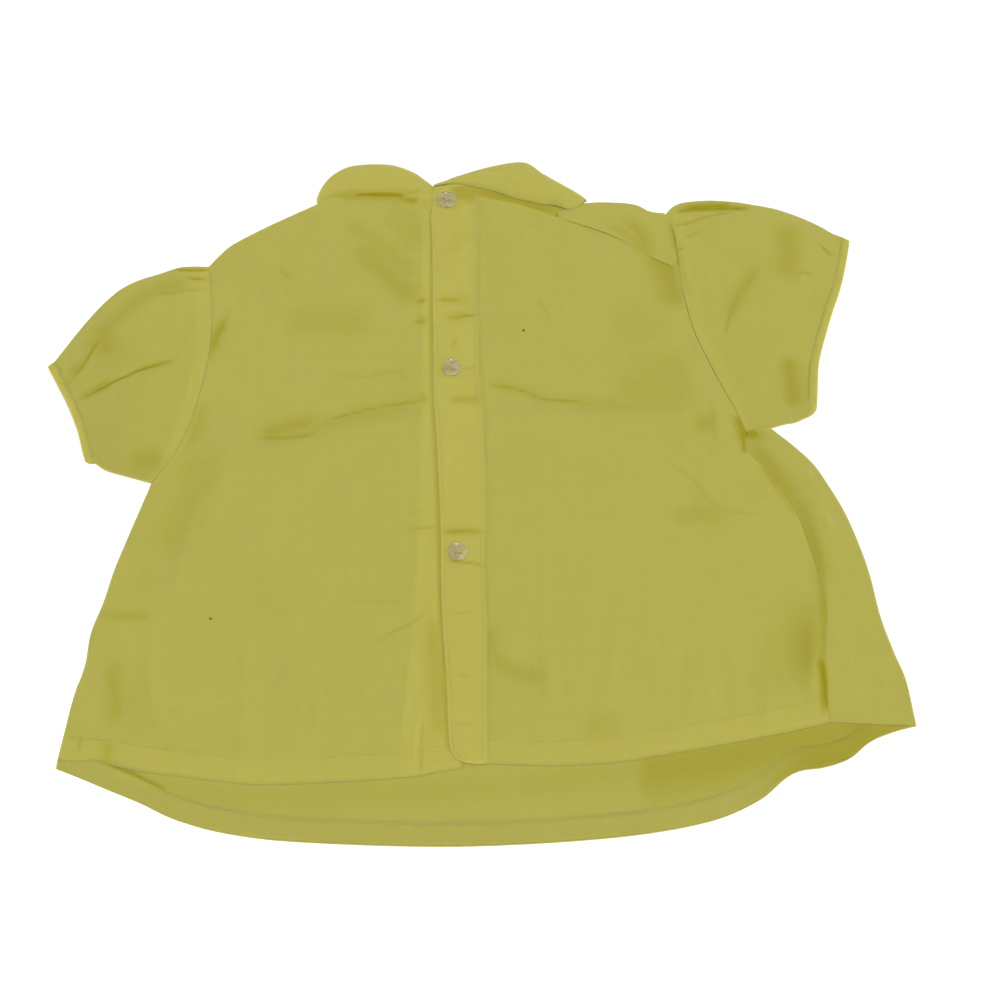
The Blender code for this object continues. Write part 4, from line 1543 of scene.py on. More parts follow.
    def flap(self, t: Array) -> tuple[Array, Array]:
        """The part that is turned over at the side.

        Args:
            t: Shares from hem to underarm.

        Returns:
            Points from below the fold, round it and back to the side seam, and their painted shade.
        """
        seam = EDGE_RIGHT(t) + np.column_stack([read(self.seam_shift, t), 0 * t])
        radius = read(self.side_radius, t)
        rows, centre, inward, reach = turned_over(self.fold_right(t), seam, radius, self.arc_steps)
        seam_level, ridge_place, ridge_level = (
            read(profile, t) for profile in (self.seam_level, self.ridge_place, self.ridge_level))
        for share in spaced(1.0, (1.0, 1 / self.side_columns))[1:]:
            flat = centre + inward * (reach * share)[:, None]
            x, y = flat.T
            from_seam = reach * (1 - share)
            beyond = np.clip((from_seam - ridge_place) / (reach - ridge_place), 0, 1)
            top = 2 * radius + (ridge_level - 2 * radius) * (1 - ease(beyond))
            climb = from_seam / ridge_place
            rise = ease(climb) * 0.8 + 0.2 * np.clip(climb, 0, 1)
            z = seam_level + (top - seam_level) * rise
            z += ((relief(self.folds, x, y + 1.2, self.side_gain)[0]
                   + crumple(x, y, 14, 0.6, 6.6) + crumple(x, y, 6, 0.22, 3.6))
                  * ease(share / 0.2) * rise * ease((t + 0.02) / 0.1))
            rows.append(np.column_stack([flat, z]))
        grid = np.stack(rows, 1)
        return grid, relief(self.folds, grid[..., 0], grid[..., 1] + 0.53 * (grid[..., 2] - 2))[1]

    def roll_over(self, t: Array) -> tuple[Array, Array]:
        """The part that is rolled over the right shoulder.

        Args:
            t: Shares from the neck to the armhole.

        Returns:
            Points from below the roll, round it and on to its lip, and their painted shade.
        """
        seam = ROLL_SEAM(t) + np.array([0.3, -0.6])
        radius, lip, crown = (
            read(profile, t) for profile in (self.roll_radius, self.roll_lip, self.roll_crown))
        rows, centre, inward, reach = turned_over(self.shoulder(t), seam, radius, self.arc_steps)
        for share in spaced(1.0, (1.0, 1 / self.roll_columns))[1:]:
            flat = centre + inward * (reach * share)[:, None]
            z = (2 * radius + (lip - 2 * radius) * ease(share)
                 + crown * math.sin(math.pi * min(share * 0.94 + 0.02, 1)) ** 0.9)
            z += crumple(flat[:, 0], flat[:, 1], 10, 0.4, 1.9) * math.sin(math.pi * share)
            rows.append(np.column_stack([flat, z]))
        grid = np.stack(rows, 1)
        x, y, z = np.moveaxis(grid, 2, 0)
        dent, crease_shade = relief(self.roll_folds, x, y + 1.3, self.roll_gain)
        z += dent * ease((z - 2.5) / 2)
        sewn = self.armhole(np.linspace(0, 1, 60))
        bulge = np.interp(y[-1], sewn[:, 1], sewn[:, 0]) - x[-1]
        x += ease((t - 0.7) / 0.3)[:, None] * bulge
        return grid, crease_shade

    def flat_part(self, under: Array, top: Array, left: Array, right: Array) -> Grid:
        """The part that lies on the floor, between four rows of points.

        Args:
            under: The points along its hem.
            top: As many along its shoulders and neck.
            left: The points up its left side.
            right: As many up its right side.

        Returns:
            Its grid.
        """
        def picked(points: Array) -> Line:
            """A line that goes from point to point of a row."""
            last = len(points) - 1
            return lambda share: points[np.rint(np.asarray(share) * last).astype(int)]

        columns, rows = len(top) - 1, len(right) - 1
        u, v = np.meshgrid(np.arange(columns + 1) / columns, np.arange(rows + 1) / rows)
        places = Patch(*map(picked, (under, top, left, right))).at(u, v)
        x, y = places[..., 0], places[..., 1]
        return Grid(np.dstack([x, y, 0 * x]), places.copy(), np.ones(x.shape),
                    relief(self.inside_folds, x, y - 0.8)[1], Facing.DOWN)

    def grids(self) -> list[Grid]:
        """Joins the flat part, the two parts turned over it and the seams' allowances.

        Returns:
            Their grids.
        """
        side_t = np.linspace(0, 1, self.side_rows + 1)
        arm_t = np.linspace(0, 1, self.arm_rows + 1)
        roll_t = np.linspace(self.roll_start, 1, self.roll_rows)
        # sharp and deep hold the shade painted on the flap and on the roll.
        (flap, sharp), (rolled, deep) = self.flap(side_t), self.roll_over(roll_t)
        right = np.vstack([flap[:, 0, :2], self.armhole(arm_t)[1:-1], rolled[-1:, 0, :2]])
        left = np.vstack([SIDE_LEFT(side_t), ARMHOLE_LEFT(arm_t)[1:]])
        top = np.vstack([SHOULDER_LEFT(np.linspace(0, 1, self.roll_rows)),
                         self.neck(np.linspace(0, 0.995, self.neck_columns))[1:],
                         rolled[:, 0, :2]])
        under = self.hem_line(np.linspace(0, 1, len(top)))
        under[-1] = right[0]
        left[0] = under[0]
        grids = [self.flat_part(under, top, left, right)]
        for grid, axis, crease_shade in ((flap, 0, sharp), (rolled, 1, deep)):
            steps = np.linalg.norm(np.diff(grid, axis=1), axis=2)
            along = np.hstack([np.zeros((len(grid), 1)), np.cumsum(steps, axis=1)])
            weave = grid[..., :2].copy()
            weave[..., axis] = grid[:, :1, axis] + along
            grids.append(Grid(grid, weave, np.ones(grid.shape[:2]), crease_shade))
        for border in (right[self.side_rows:], left[self.side_rows:]):
            away = left_of(border)
            away *= np.where(border[:, :1] > 0, 1, -1) * np.sign(away[:, :1])
            points = np.column_stack([border, np.zeros(len(border))])
            grids.append(lap(points, away, Facing.DOWN))
        return grids


@dataclass(frozen=True)
class FrontHem(Sewn):
    """The front's hem, turned up on its inside, where its inner edge gapes at the left."""

    name: str = "front_hem"
    start: float = 0.010
    end: float = 0.955
    steps: int = 300
    width: float = 11.5
    across: Profile = ((1.0, 0.35), (9.5, 0.95), (11.5, 0.5))
    inset: float = 0.5
    slant: float = 0.4
    level: float = 0.84
    landing: float = 0.46
    gape: float = 1.2
    gape_place: float = 0.075
    plies: float = 0.85

    def grids(self) -> list[Grid]:
        """Lays the strip along the front's hem.

        Returns:
            Its grid.
        """
        t = np.linspace(self.start, self.end, self.steps)
        edge = Front.hem_line(t)
        inward = left_of(edge) * (self.slant, 1)
        share = spaced(self.width, *self.across)
        width = self.width * (0.55 + 0.45 * ease((t - self.start) / 0.03))
        away = self.inset + share[None, :] * width[:, None]
        places = edge[:, None, :] + inward[:, None, :] * away[..., None]
        x, y = places[..., 0], places[..., 1]
        off = t - self.gape_place
        lifted = np.exp(-(off / 0.045) ** 2)[:, None] * ease((share - 0.4) / 0.6)[None, :]
        z = self.level + self.gape * lifted + crumple(x, y, 15, 0.12, 6.2)
        z = self.landing + (z - self.landing) * rolled_off(away - self.inset, 1.6)
        far = (1 - share)[None, :] * width[:, None]
        flush = 1 - np.exp(-(off / 0.06) ** 2)[:, None]
        z = z - flush * (z - self.landing) * (1 - ease(far / 3.4))
        # Painted shade: deeper toward the right under the flap, and along the gaping inner edge.
        crease_shade = (0.8 * ease((x - 110) / 40)
                   + 1.2 * np.exp(-((x + 172) / 16) ** 2) * np.exp(-(far / 1.1) ** 2))
        return [Grid(np.dstack([x, y, z]), places.copy(), np.full(x.shape, self.plies), crease_shade)]


# ---------------------------------------------------------------- sleeves

Lift = Callable[[Array, Array, Array, Array], tuple[Array, Array]]


def flattened(patch: Patch, along: Array, across: tuple[int, int], radius: float,
              top: Lift) -> Grid:
    """A tube of cloth pressed flat on the table.

    Args:
        patch: Its outline, from one open end (u) to the other and from edge to edge (v).
        along: Shares along it.
        across: Cells across its upper side, and across its lower one.
        radius: Radius of its two pressed edges.
        top: Lift of its upper side over its edges, and its painted shade, for x, y and shares u, v.

    Returns:
        The closed grid, with a row for each share along.
    """
    ones = np.ones_like(along)
    width = np.linalg.norm(patch.at(along, ones) - patch.at(along, 0 * ones), axis=1)[:, None]
    inset = radius / width
    lower = np.linspace(0, 1, across[1] + 1)[None, :]
    upper = np.linspace(1, 0, across[0] + 1)[None, :]
    turn = np.linspace(-math.pi / 2, math.pi / 2, 9)[1:-1][None, :]
    v = np.hstack([inset + (1 - 2 * inset) * lower, 1 - inset * (1 - np.cos(turn)),
                   inset + (1 - 2 * inset) * upper, inset * (1 - np.cos(turn[:, ::-1]))])
    u = np.broadcast_to(along[:, None], v.shape)
    places = patch.at(u, v)
    round_edge = np.broadcast_to(radius * (1 + np.sin(turn)), (len(along), turn.shape[1]))
    start = lower.shape[1] + turn.shape[1]
    above = slice(start, start + upper.shape[1])
    crease_shade = np.zeros(v.shape)
    lift, crease_shade[:, above] = top(places[:, above, 0], places[:, above, 1], u[:, above],
                                  v[:, above])
    z = np.hstack([np.zeros((len(along), lower.shape[1])), round_edge, 2 * radius + lift,
                   round_edge[:, ::-1]])
    points = np.dstack([places, z])
    looped = np.hstack([points, points[:, :1]])
    steps = np.linalg.norm(np.diff(looped, axis=1), axis=2)
    around = np.hstack([np.zeros((len(along), 1)), np.cumsum(steps, axis=1)])
    middle = patch.at(along, ones / 2) - patch.at(np.zeros(1), np.full(1, 0.5))
    down = np.linalg.norm(middle, axis=1)[:, None]
    weave = np.dstack([around, np.broadcast_to(down, around.shape)])
    return Grid(points, weave, np.ones(v.shape), crease_shade, Facing.OUT, True)


@dataclass(frozen=True)
class Sleeve(Sewn):
    """A puff sleeve lying flat, gathered into its armhole and into a narrow bound cuff.

    The seam's profile is the height of the cap's seam by its place from underarm to shoulder,
    and outward is 1 where the left of the cuff's line lies away from the sleeve, or else -1.
    """

    side: str
    cap: Curve
    top: Curve
    under: Curve
    cuff: Curve
    outward: float
    seam: Profile
    folds: tuple[Fold, ...]
    puff: float = 4.5
    cap_level: float = 3.1
    cuff_level: float = 2.35
    radius: float = 0.8
    under_slope: float = 30.0
    top_slope: float = 13.0
    allowance: float = 6.2
    cuff_gap: float = 0.05
    cuff_width: float = 4.5
    cuff_seam: float = 0.9
    cuff_middle: float = 1.4
    end_bulge: float = 1.0
    gain: float = -1.2
    crumple_height: float = 0.8
    gathers: float = 0.10
    cap_pleat: float = 3.1
    cuff_pleat: float = 2.7
    along: Profile = ((2, 0.5), (8, 0.8), (64, 0.9), (72, 0.7))
    cuff_along: Profile = ((0.8, 0.2), (3.2, 0.4), (4.15, 0.19))

    @property
    def name(self) -> str:
        """The sleeve's name."""
        return f"sleeve_{self.side}"

    def patch(self) -> Patch:
        """The sleeve's outline, from its cap to its cuff and from its under edge to its top."""
        return Patch(self.under, self.top, self.cap, self.cuff)

    def lift(self, x: Array, y: Array, u: Array, v: Array) -> tuple[Array, Array]:
        """How far the upper side stands over the pressed edges, and the shade painted on it.

        Args:
            x: First coordinates of places on the upper side.
            y: Second coordinates of those places.
            u: Shares from cap to cuff.
            v: Shares from the under edge to the top one.

        Returns:
            The lifts and the painted shade.
        """
        near, far = self.cap(v), self.cuff(v)
        reach = np.linalg.norm(far - near, axis=-1)
        from_cap, from_cuff = u * reach, (1 - u) * reach
        width = np.hypot(x[:, -1] - x[:, 0], y[:, -1] - y[:, 0])[:, None]
        level = self.cap_level + (self.puff - self.cap_level) * ease((from_cap - 5) / 22)
        level = self.cuff_level + (level - self.cuff_level) * ease(from_cuff / 18)
        down_cap, down_cuff = v * self.cap.length, v * self.cuff.length
        head = ease((v - 0.55) / 0.3)
        pleats = (np.sin(down_cap * 2 * math.pi / self.cap_pleat + crumple(x, y, 9, 7.0, 3.3))
                  * np.exp(-from_cap / 6.5) * (0.25 + head)
                  + np.sin(down_cuff * 2 * math.pi / self.cuff_pleat + crumple(x, y, 8, 7.0, 8.3))
                  * np.exp(-from_cuff / 5.0) * 0.7)
        lift, crease_shade = relief(self.folds, x, y, self.gain)
        z = (level + pleats * self.gathers + lift
             + 0.2 * ease((self.allowance + 1.2 - from_cap) / 2.4)
             + crumple(x, y, 15, self.crumple_height, 4.4) + crumple(x, y, 6, 0.25, 7.9))
        crown = (ease(v * width / self.under_slope) ** 0.7
                 * ease((1 - v) * width / self.top_slope) ** 0.5)
        pressed = 2 * self.radius
        z = pressed + kept_above(0.25, z - pressed) * crown
        sewn = read(self.seam, near[..., 1]) + pleats * self.gathers * head
        z = sewn + (z - sewn) * ease((from_cap + 0.3) / 6)
        bound = pressed + (self.cuff_level + 0.12 - pressed) * rolled_off(
            np.minimum(v, 1 - v) * self.cuff.length, 6.0)
        z = bound + (z - bound) * ease((from_cuff + 0.2) / 5)
        return np.maximum(z, pressed) - pressed, crease_shade

    def grids(self) -> list[Grid]:
        """Lays the sleeve flat.

        Returns:
            Its grid.
        """
        along = spaced(self.along[-1][0], *self.along)
        grid = flattened(self.patch(), along, (150, 50), self.radius, self.lift)
        from_cap = along * self.cap.length * 0.5
        grid.plies = np.broadcast_to(1 + 0.5 * ease((self.allowance - from_cap) / 1.5 + 0.5)
                                     [:, None], grid.plies.shape)
        return [grid]

    def swell(self, x: Array, y: Array, u: Array, v: Array) -> tuple[Array, Array]:
        """How far the cuff's upper side stands over its pressed edges.

        Args:
            x: First coordinates of places on the upper side.
            y: Second coordinates of those places.
            u: Shares from the cuff's inner edge, at the sleeve's end, to its outer one.
            v: Shares from one end of it to the other.

        Returns:
            The lifts, and painted shade, of which it has none.
        """
        width = np.hypot(x[:, -1] - x[:, 0], y[:, -1] - y[:, 0])[:, None]
        crown = rolled_off(np.minimum(v, 1 - v) * width, 6.0)
        away = u * (self.cuff_width - self.cuff_gap)
        z = (self.cuff_level + 0.2 + 0.15 * np.sin(math.pi * u)
             - 0.22 * np.exp(-((away - 1.1) / 0.4) ** 2) + crumple(x, y, 5, 0.35, 2.5))
        return (z - 2 * self.radius) * crown, np.zeros(x.shape)

    def binding(self, finish: Finish) -> Piece:
        """Makes the cuff, a strip folded over the sleeve's end and stitched near its inner side.

        Args:
            finish: Its material.

        Returns:
            The cuff.
        """
        start = beside(self.cuff, self.outward * self.cuff_gap)
        end = beside(self.cuff, self.outward * self.cuff_width)
        end = Curve(end(np.linspace(0.045, 0.985, 24)))
        beyond = start(0.0) - start(0.12)
        beyond = beyond / np.linalg.norm(beyond) * self.end_bulge
        low = Curve((start(0.0), (start(0.0) * 0.4 + end(0.0) * 0.6) + beyond, end(0.0)))
        high = Curve((start(1.0), end(1.0)))
        along = spaced(self.cuff_along[-1][0], *self.cuff_along)
        grid = flattened(Patch(low, high, start, end), along, (90, 44), self.radius, self.swell)
        from_end = np.minimum(along, 1 - along)[:, None] * (self.cuff_width - self.cuff_gap)
        closing = rolled_off(from_end + 0.10, 0.95)
        z = grid.points[..., 2]
        z[:] = self.cuff_middle + (z - self.cuff_middle) * (0.70 + 0.30 * closing)
        grid.plies = np.broadcast_to(0.35 + 1.1 * closing, grid.plies.shape)
        name = f"cuff_{self.side}"
        return dress_piece(cloth(name, grid), finish, "cotton", name)


SLEEVE_LEFT = Sleeve(
    side="left",
    cap=beside(ARMHOLE_LEFT, 0.07),
    top=Curve(((-154.27, 139.5), (-163, 139.6), (-170.5, 138.8), (-180, 134.9), (-190.4, 131),
               (-199.5, 125.4), (-206.6, 118), (-212.4, 110.2), (-219.2, 99.6), (-226.2, 87.6),
               (-230.2, 80.6))),
    under=Curve(((-174.86, 8.97), (-186, 12.3), (-198, 16.2), (-204, 20.4))),
    cuff=Curve(((-204, 20.4), (-206.6, 28), (-210.4, 40.6), (-217.2, 56.3), (-223.6, 68.4),
                (-230.2, 80.6))),
    outward=1.0,
    seam=((9, 1.6), (16, 1.9), (25, 2.9), (134, 2.9), (139.5, 1.6)),
    # Pinch and shade rows paint shade into the sleeve's creases and hollows.
    folds=(
        pinch(1.3, -1.4, (-172, 136.6), (-154, 136.6), fade=3),
        pinch(1.4, -1.3, (-166, 131.2), (-153, 130.2), fade=6),
        pinch(1.4, -0.5, (-186, 120), (-172, 121.2), (-165, 123.6), (-158, 124), (-152, 122.6),
              fade=12),
        drop(9, 0.5, (-152, 126), (-165, 126), (-184, 123), (-196, 118), edge=2.2),
        roll(8, -1.9, (-180, 125), (-195, 118), (-205, 110), (-207, 101), (-209, 93)),
        pinch(2, -1, (-205, 99), (-210, 87), (-215, 76.6), (-222, 66), fade=12),
        shade(5, 0.4, (-214, 80), (-209, 91), (-201, 104), (-192, 115), (-180, 123), (-162, 130),
              fade=10),
        shade(6, 0.5, (-208, 104), (-205, 93), (-203, 80)),
        roll(6, -0.7, (-207, 103), (-204, 92), (-202, 80), fade=10),
        shade(2.4, 0.5, (-214, 80), (-219, 74), (-223, 71), fade=4),
        shade(2.6, 0.6, (-217, 57), (-205, 63), (-197, 67.6)),
        shade(2, 0.5, (-187, 73), (-176, 77), (-168, 80)),
        shade(7, 0.45, (-168, 26), (-178, 20), (-190, 20), fade=8),
        shade(9, 0.25, (-208, 96), (-200, 84), (-196, 72), fade=10),
        roll(4.5, -0.8, (-206, 100), (-202, 86), (-198, 75)),
        roll(3.5, 0.9, (-211, 94), (-207.5, 86), (-207, 78)),
        pinch(1.2, -1.5, (-218.5, 55), (-205, 62.5), (-197, 67.5), (-191, 70.4), (-187, 73),
              (-177, 77.2), (-164, 81.5), fade=16),
        drop(11, 0.5, (-161, 82), (-177, 78), (-187, 74), (-203, 65), (-217, 57), edge=2.6,
             fade=20),
        roll(6, -0.8, (-200, 62), (-196, 36)),
        roll(7, -0.6, (-178, 28), (-172, 17)),
        roll(6, -0.7, (-161, 112), (-160, 94)),
        roll(12, 0.7, (-186, 54), (-176, 32)),
        roll(10, 0.9, (-186, 98), (-168, 88)),
        pinch(1, -0.7, (-227, 77), (-225.6, 72), fade=3),
        pinch(1, -0.7, (-222, 70), (-220, 65), fade=3),
        roll(2, 0.5, (-219, 62), (-214, 66)),
    ),
)

SLEEVE_RIGHT = Sleeve(
    side="right",
    cap=beside(ARMHOLE_RIGHT, -0.07),
    top=Curve(((88.47, 172.5), (92.4, 177.6), (98.7, 180.9), (112.3, 182.3), (125.7, 181.4),
               (134.8, 179.8), (147.1, 177), (156, 173.6), (163.8, 169.8), (171.6, 165.2),
               (177.7, 160.8), (182.4, 158.6))),
    under=Curve(((124.66, 38.63), (131, 39.6), (137.9, 41), (145.2, 43.2), (150.4, 44.2),
                 (156.6, 47.2))),
    cuff=Curve(((156.6, 47.2), (157.8, 57), (158.9, 68), (160, 78), (162.4, 88), (166.4, 101.4),
                (170.4, 113.6), (174.4, 124.6), (177.6, 136), (180.4, 148.4), (182.4, 158.6))),
    outward=-1.0,
    seam=((38.6, 1.8), (46, 2.9), (136, 2.9), (144, 2.55), (166, 2.4), (172.5, 1.7)),
    # Pinch and shade rows paint shade into the sleeve's creases and hollows.
    folds=(
        pinch(2.6, -3.6, (92, 173.4), (100, 175.4), (112, 176.2), (127, 176.4), (136, 175.4),
              fade=9),
        shade(2, 1.2, (97, 176.4), (104, 177.2), (114, 177.8), (127, 177.8)),
        shade(7, 0.5, (154, 168), (153, 152), (152, 138), (146, 126), fade=12),
        shade(4.5, 0.45, (140, 140), (130, 128), (124, 116), (119, 102), fade=14),
        shade(5, 0.7, (148.6, 84), (149.4, 68), (150.4, 50), fade=8),
        shade(1.6, 0.3, (91, 168), (93, 156), (96, 138), (101, 116), fade=10),
        roll(2.4, 0.8, (96, 171), (110, 173.5), (124, 174.4), fade=8),
        pinch(1.4, -0.8, (90, 164.6), (100, 165.8), (107, 169), (115, 171.6), (127, 173.6), fade=6),
        pinch(1.2, -0.5, (94, 154.2), (100, 157.8), (107, 160.8), (114, 164)),
        pinch(1.2, -0.9, (92.5, 148.4), (99, 150), fade=3),
        pinch(1.6, -0.6, (142, 140), (136, 134.6), (130, 128), (125, 121), (122, 113), (118, 101),
              (116, 91), fade=16),
        drop(16, -1, (116, 92), (119, 104), (123, 116), (130, 128), (140, 139), edge=2.4),
        roll(4, 0.6, (144, 141), (136, 139)),
        roll(5, -0.8, (152, 162), (149, 153), (146, 147)),
        pinch(1.5, -0.8, (169, 154), (173, 148.6), (178, 143.6), fade=6),
        pinch(1.3, -0.7, (153, 133), (167, 133.4), fade=7),
        roll(5, -0.6, (156, 130), (161, 128)),
        roll(8, -0.9, (151, 80), (151.6, 46), fade=6),
        roll(9, -0.6, (126, 80), (152, 78)),
        roll(14, 0.6, (128, 102), (144, 92)),
        roll(11, -0.7, (134, 124), (150, 118)),
        roll(3, 0.5, (170, 118), (166, 96)),
        pinch(1.1, -0.9, (160.4, 80), (157.4, 55), fade=4),
        roll(9, 0.5, (118, 156), (134, 150)),
    ),
)


# ---------------------------------------------------------------- collar

@dataclass(frozen=True)
class Collar(Sewn):
    """A half of the collar, whose cross-section is led along its length.

    Each line runs from the half's left end to its right one and gives places with heights. The
    stations say which share of the section each row of points reads. The share of the section
    up to shaded has the folds' painted shade in full, and the rest the fall's share of it.
    """

    name: str
    lines: tuple[Curve, ...]
    stations: tuple[float, ...]
    folds: tuple[Fold, ...] = ()
    shaded: float = 1.0
    fall_share: float = 0.0
    plies: float = 1.9
    steps: int = 40
    along: int = 70

    def grids(self) -> list[Grid]:
        """Leads the section along the half.

        Returns:
            Its grid.
        """
        shares = np.linspace(0, 1, self.along + 1)
        rails = np.stack([line(shares) for line in self.lines], 1)
        reads = np.interp(np.linspace(0, 1, self.steps + 1),
                          np.linspace(0, 1, len(self.stations)), self.stations)
        points = np.stack([Curve(section)(reads) for section in rails])
        x, y = points[..., 0], points[..., 1]
        high = ease((points[..., 2] - 2.2) / 1.5)
        lift, crease_shade = relief(self.folds, x, y)
        # Painted shade goes on the stand in full, and on the fall only as fall_share.
        crease_shade *= np.where(reads < self.shaded, 1, self.fall_share)[None, :]
        points[..., 2] += high * (lift + crumple(x, y, 12, 0.40, 5.1)
                                  + crumple(x, y, 4.5, 0.12, 1.4))
        steps = np.linalg.norm(np.diff(points, axis=1), axis=2)
        weave = np.dstack([x, np.hstack([np.zeros((len(x), 1)), np.cumsum(steps, axis=1)])])
        ends = np.minimum(shares, 1 - shares)[:, None] * self.lines[0].length
        free = np.minimum(reads, 1 - reads)[None, :] * 26
        plies = self.plies * np.minimum(0.2 + ends / 1.6, 1) * np.minimum(0.30 + free / 3.0, 1)
        return [Grid(points, weave, plies, crease_shade)]


COLLAR_LEFT = Collar(
    "collar_left",
    lines=(
        Curve(((-98.2, 178.6, 0.8), (-90, 180.6, 1.2), (-80, 181.4, 1.6), (-62, 181.4, 1.7),
               (-50, 181.6, 1.7), (-43, 183, 1.6), (-35.9, 184.4, 1.2))),
        Curve(((-98.4, 180.2, 1.3), (-90, 183, 2.2), (-80, 183.9, 2.6), (-70, 184.2, 2.6),
               (-62, 184.2, 2.6), (-52, 184, 2.7), (-45, 184.9, 2.8), (-35.9, 186.6, 2.4))),
        Curve(((-98.5, 180.8, 1.5), (-90, 183.6, 2.4), (-80, 184.6, 2.9), (-72, 185.2, 2.7),
               (-62, 185.4, 2.7), (-54, 184.9, 2.8), (-48, 184.9, 3.1), (-35.9, 187.2, 2.6))),
        Curve(((-98.6, 181.4, 1.7), (-90, 184.4, 2.7), (-80, 185.6, 3.2), (-72, 185.9, 3.5),
               (-62, 186, 3.6), (-54, 185.5, 3.5), (-48, 185.6, 3.3), (-35.9, 187.8, 2.7))),
        Curve(((-98.7, 182.2, 1.9), (-91.4, 186.6, 3.2), (-82, 188.2, 3.8), (-72, 188.6, 4.1),
               (-62, 188.6, 4.2), (-53, 188.4, 4), (-46, 188.2, 3.5), (-35.9, 188.8, 2.8))),
        Curve(((-98.8, 183, 1.9), (-93.4, 190.4, 3.3), (-86, 193.6, 4.1), (-74, 194.6, 4.5),
               (-62, 194.6, 4.6), (-53, 193.4, 4.3), (-46, 191.6, 3.6), (-35.9, 189.8, 2.7))),
        Curve(((-98.8, 183.4, 1.6), (-95.4, 190.8, 2.9), (-89.5, 196.4, 3.8), (-79, 199.8, 4.3),
               (-64, 200, 4.4), (-54, 198, 4), (-46, 195, 3.2), (-35.9, 190.6, 2.2))),
        Curve(((-98.8, 183.6, 1.3), (-96.4, 189.6, 2.2), (-91, 197.4, 3), (-81, 203, 3.4),
               (-66, 204, 3.6), (-54, 201.8, 3.2), (-46, 197.8, 2.6), (-41, 194.2, 2.2),
               (-35.8, 190.9, 1.6))),
        Curve(((-98.8, 184.2, 0.9), (-97.6, 187.6, 0.9), (-95.4, 191.6, 0.9), (-90.6, 198.6, 0.9),
               (-83.3, 204.4, 0.9), (-73.6, 206.4, 0.9), (-61, 206.4, 0.9), (-53.4, 204.3, 0.9),
               (-45.7, 200.3, 0.9), (-39.6, 195, 0.9), (-35.8, 191.5, 0.9))),
    ),
    stations=(0.0, 0.06, 0.10, 0.13, 0.16, 0.19, 0.22, 0.26, 0.31, 0.38, 0.46, 0.54, 0.62, 0.70,
              0.78, 0.85, 0.91, 0.96, 1),
    # Shade rows paint the shade in the slit under the collar's lower edge.
    folds=(
        shade(1.8, 1.4, (-80, 183.8), (-70, 184.4), (-62, 184.5), (-50, 184), fade=4),
        shade(2.6, 0.5, (-97, 182), (-84, 184.6), (-75, 185.4), (-58, 185.6), (-44, 187.2),
              fade=10),
        pinch(1.6, -0.6, (-54, 184.6), (-47, 186.4), (-41, 188.8), fade=5),
        roll(5, 0.4, (-84, 196), (-70, 199), (-56, 197)),
    ),
    steps=56,
)

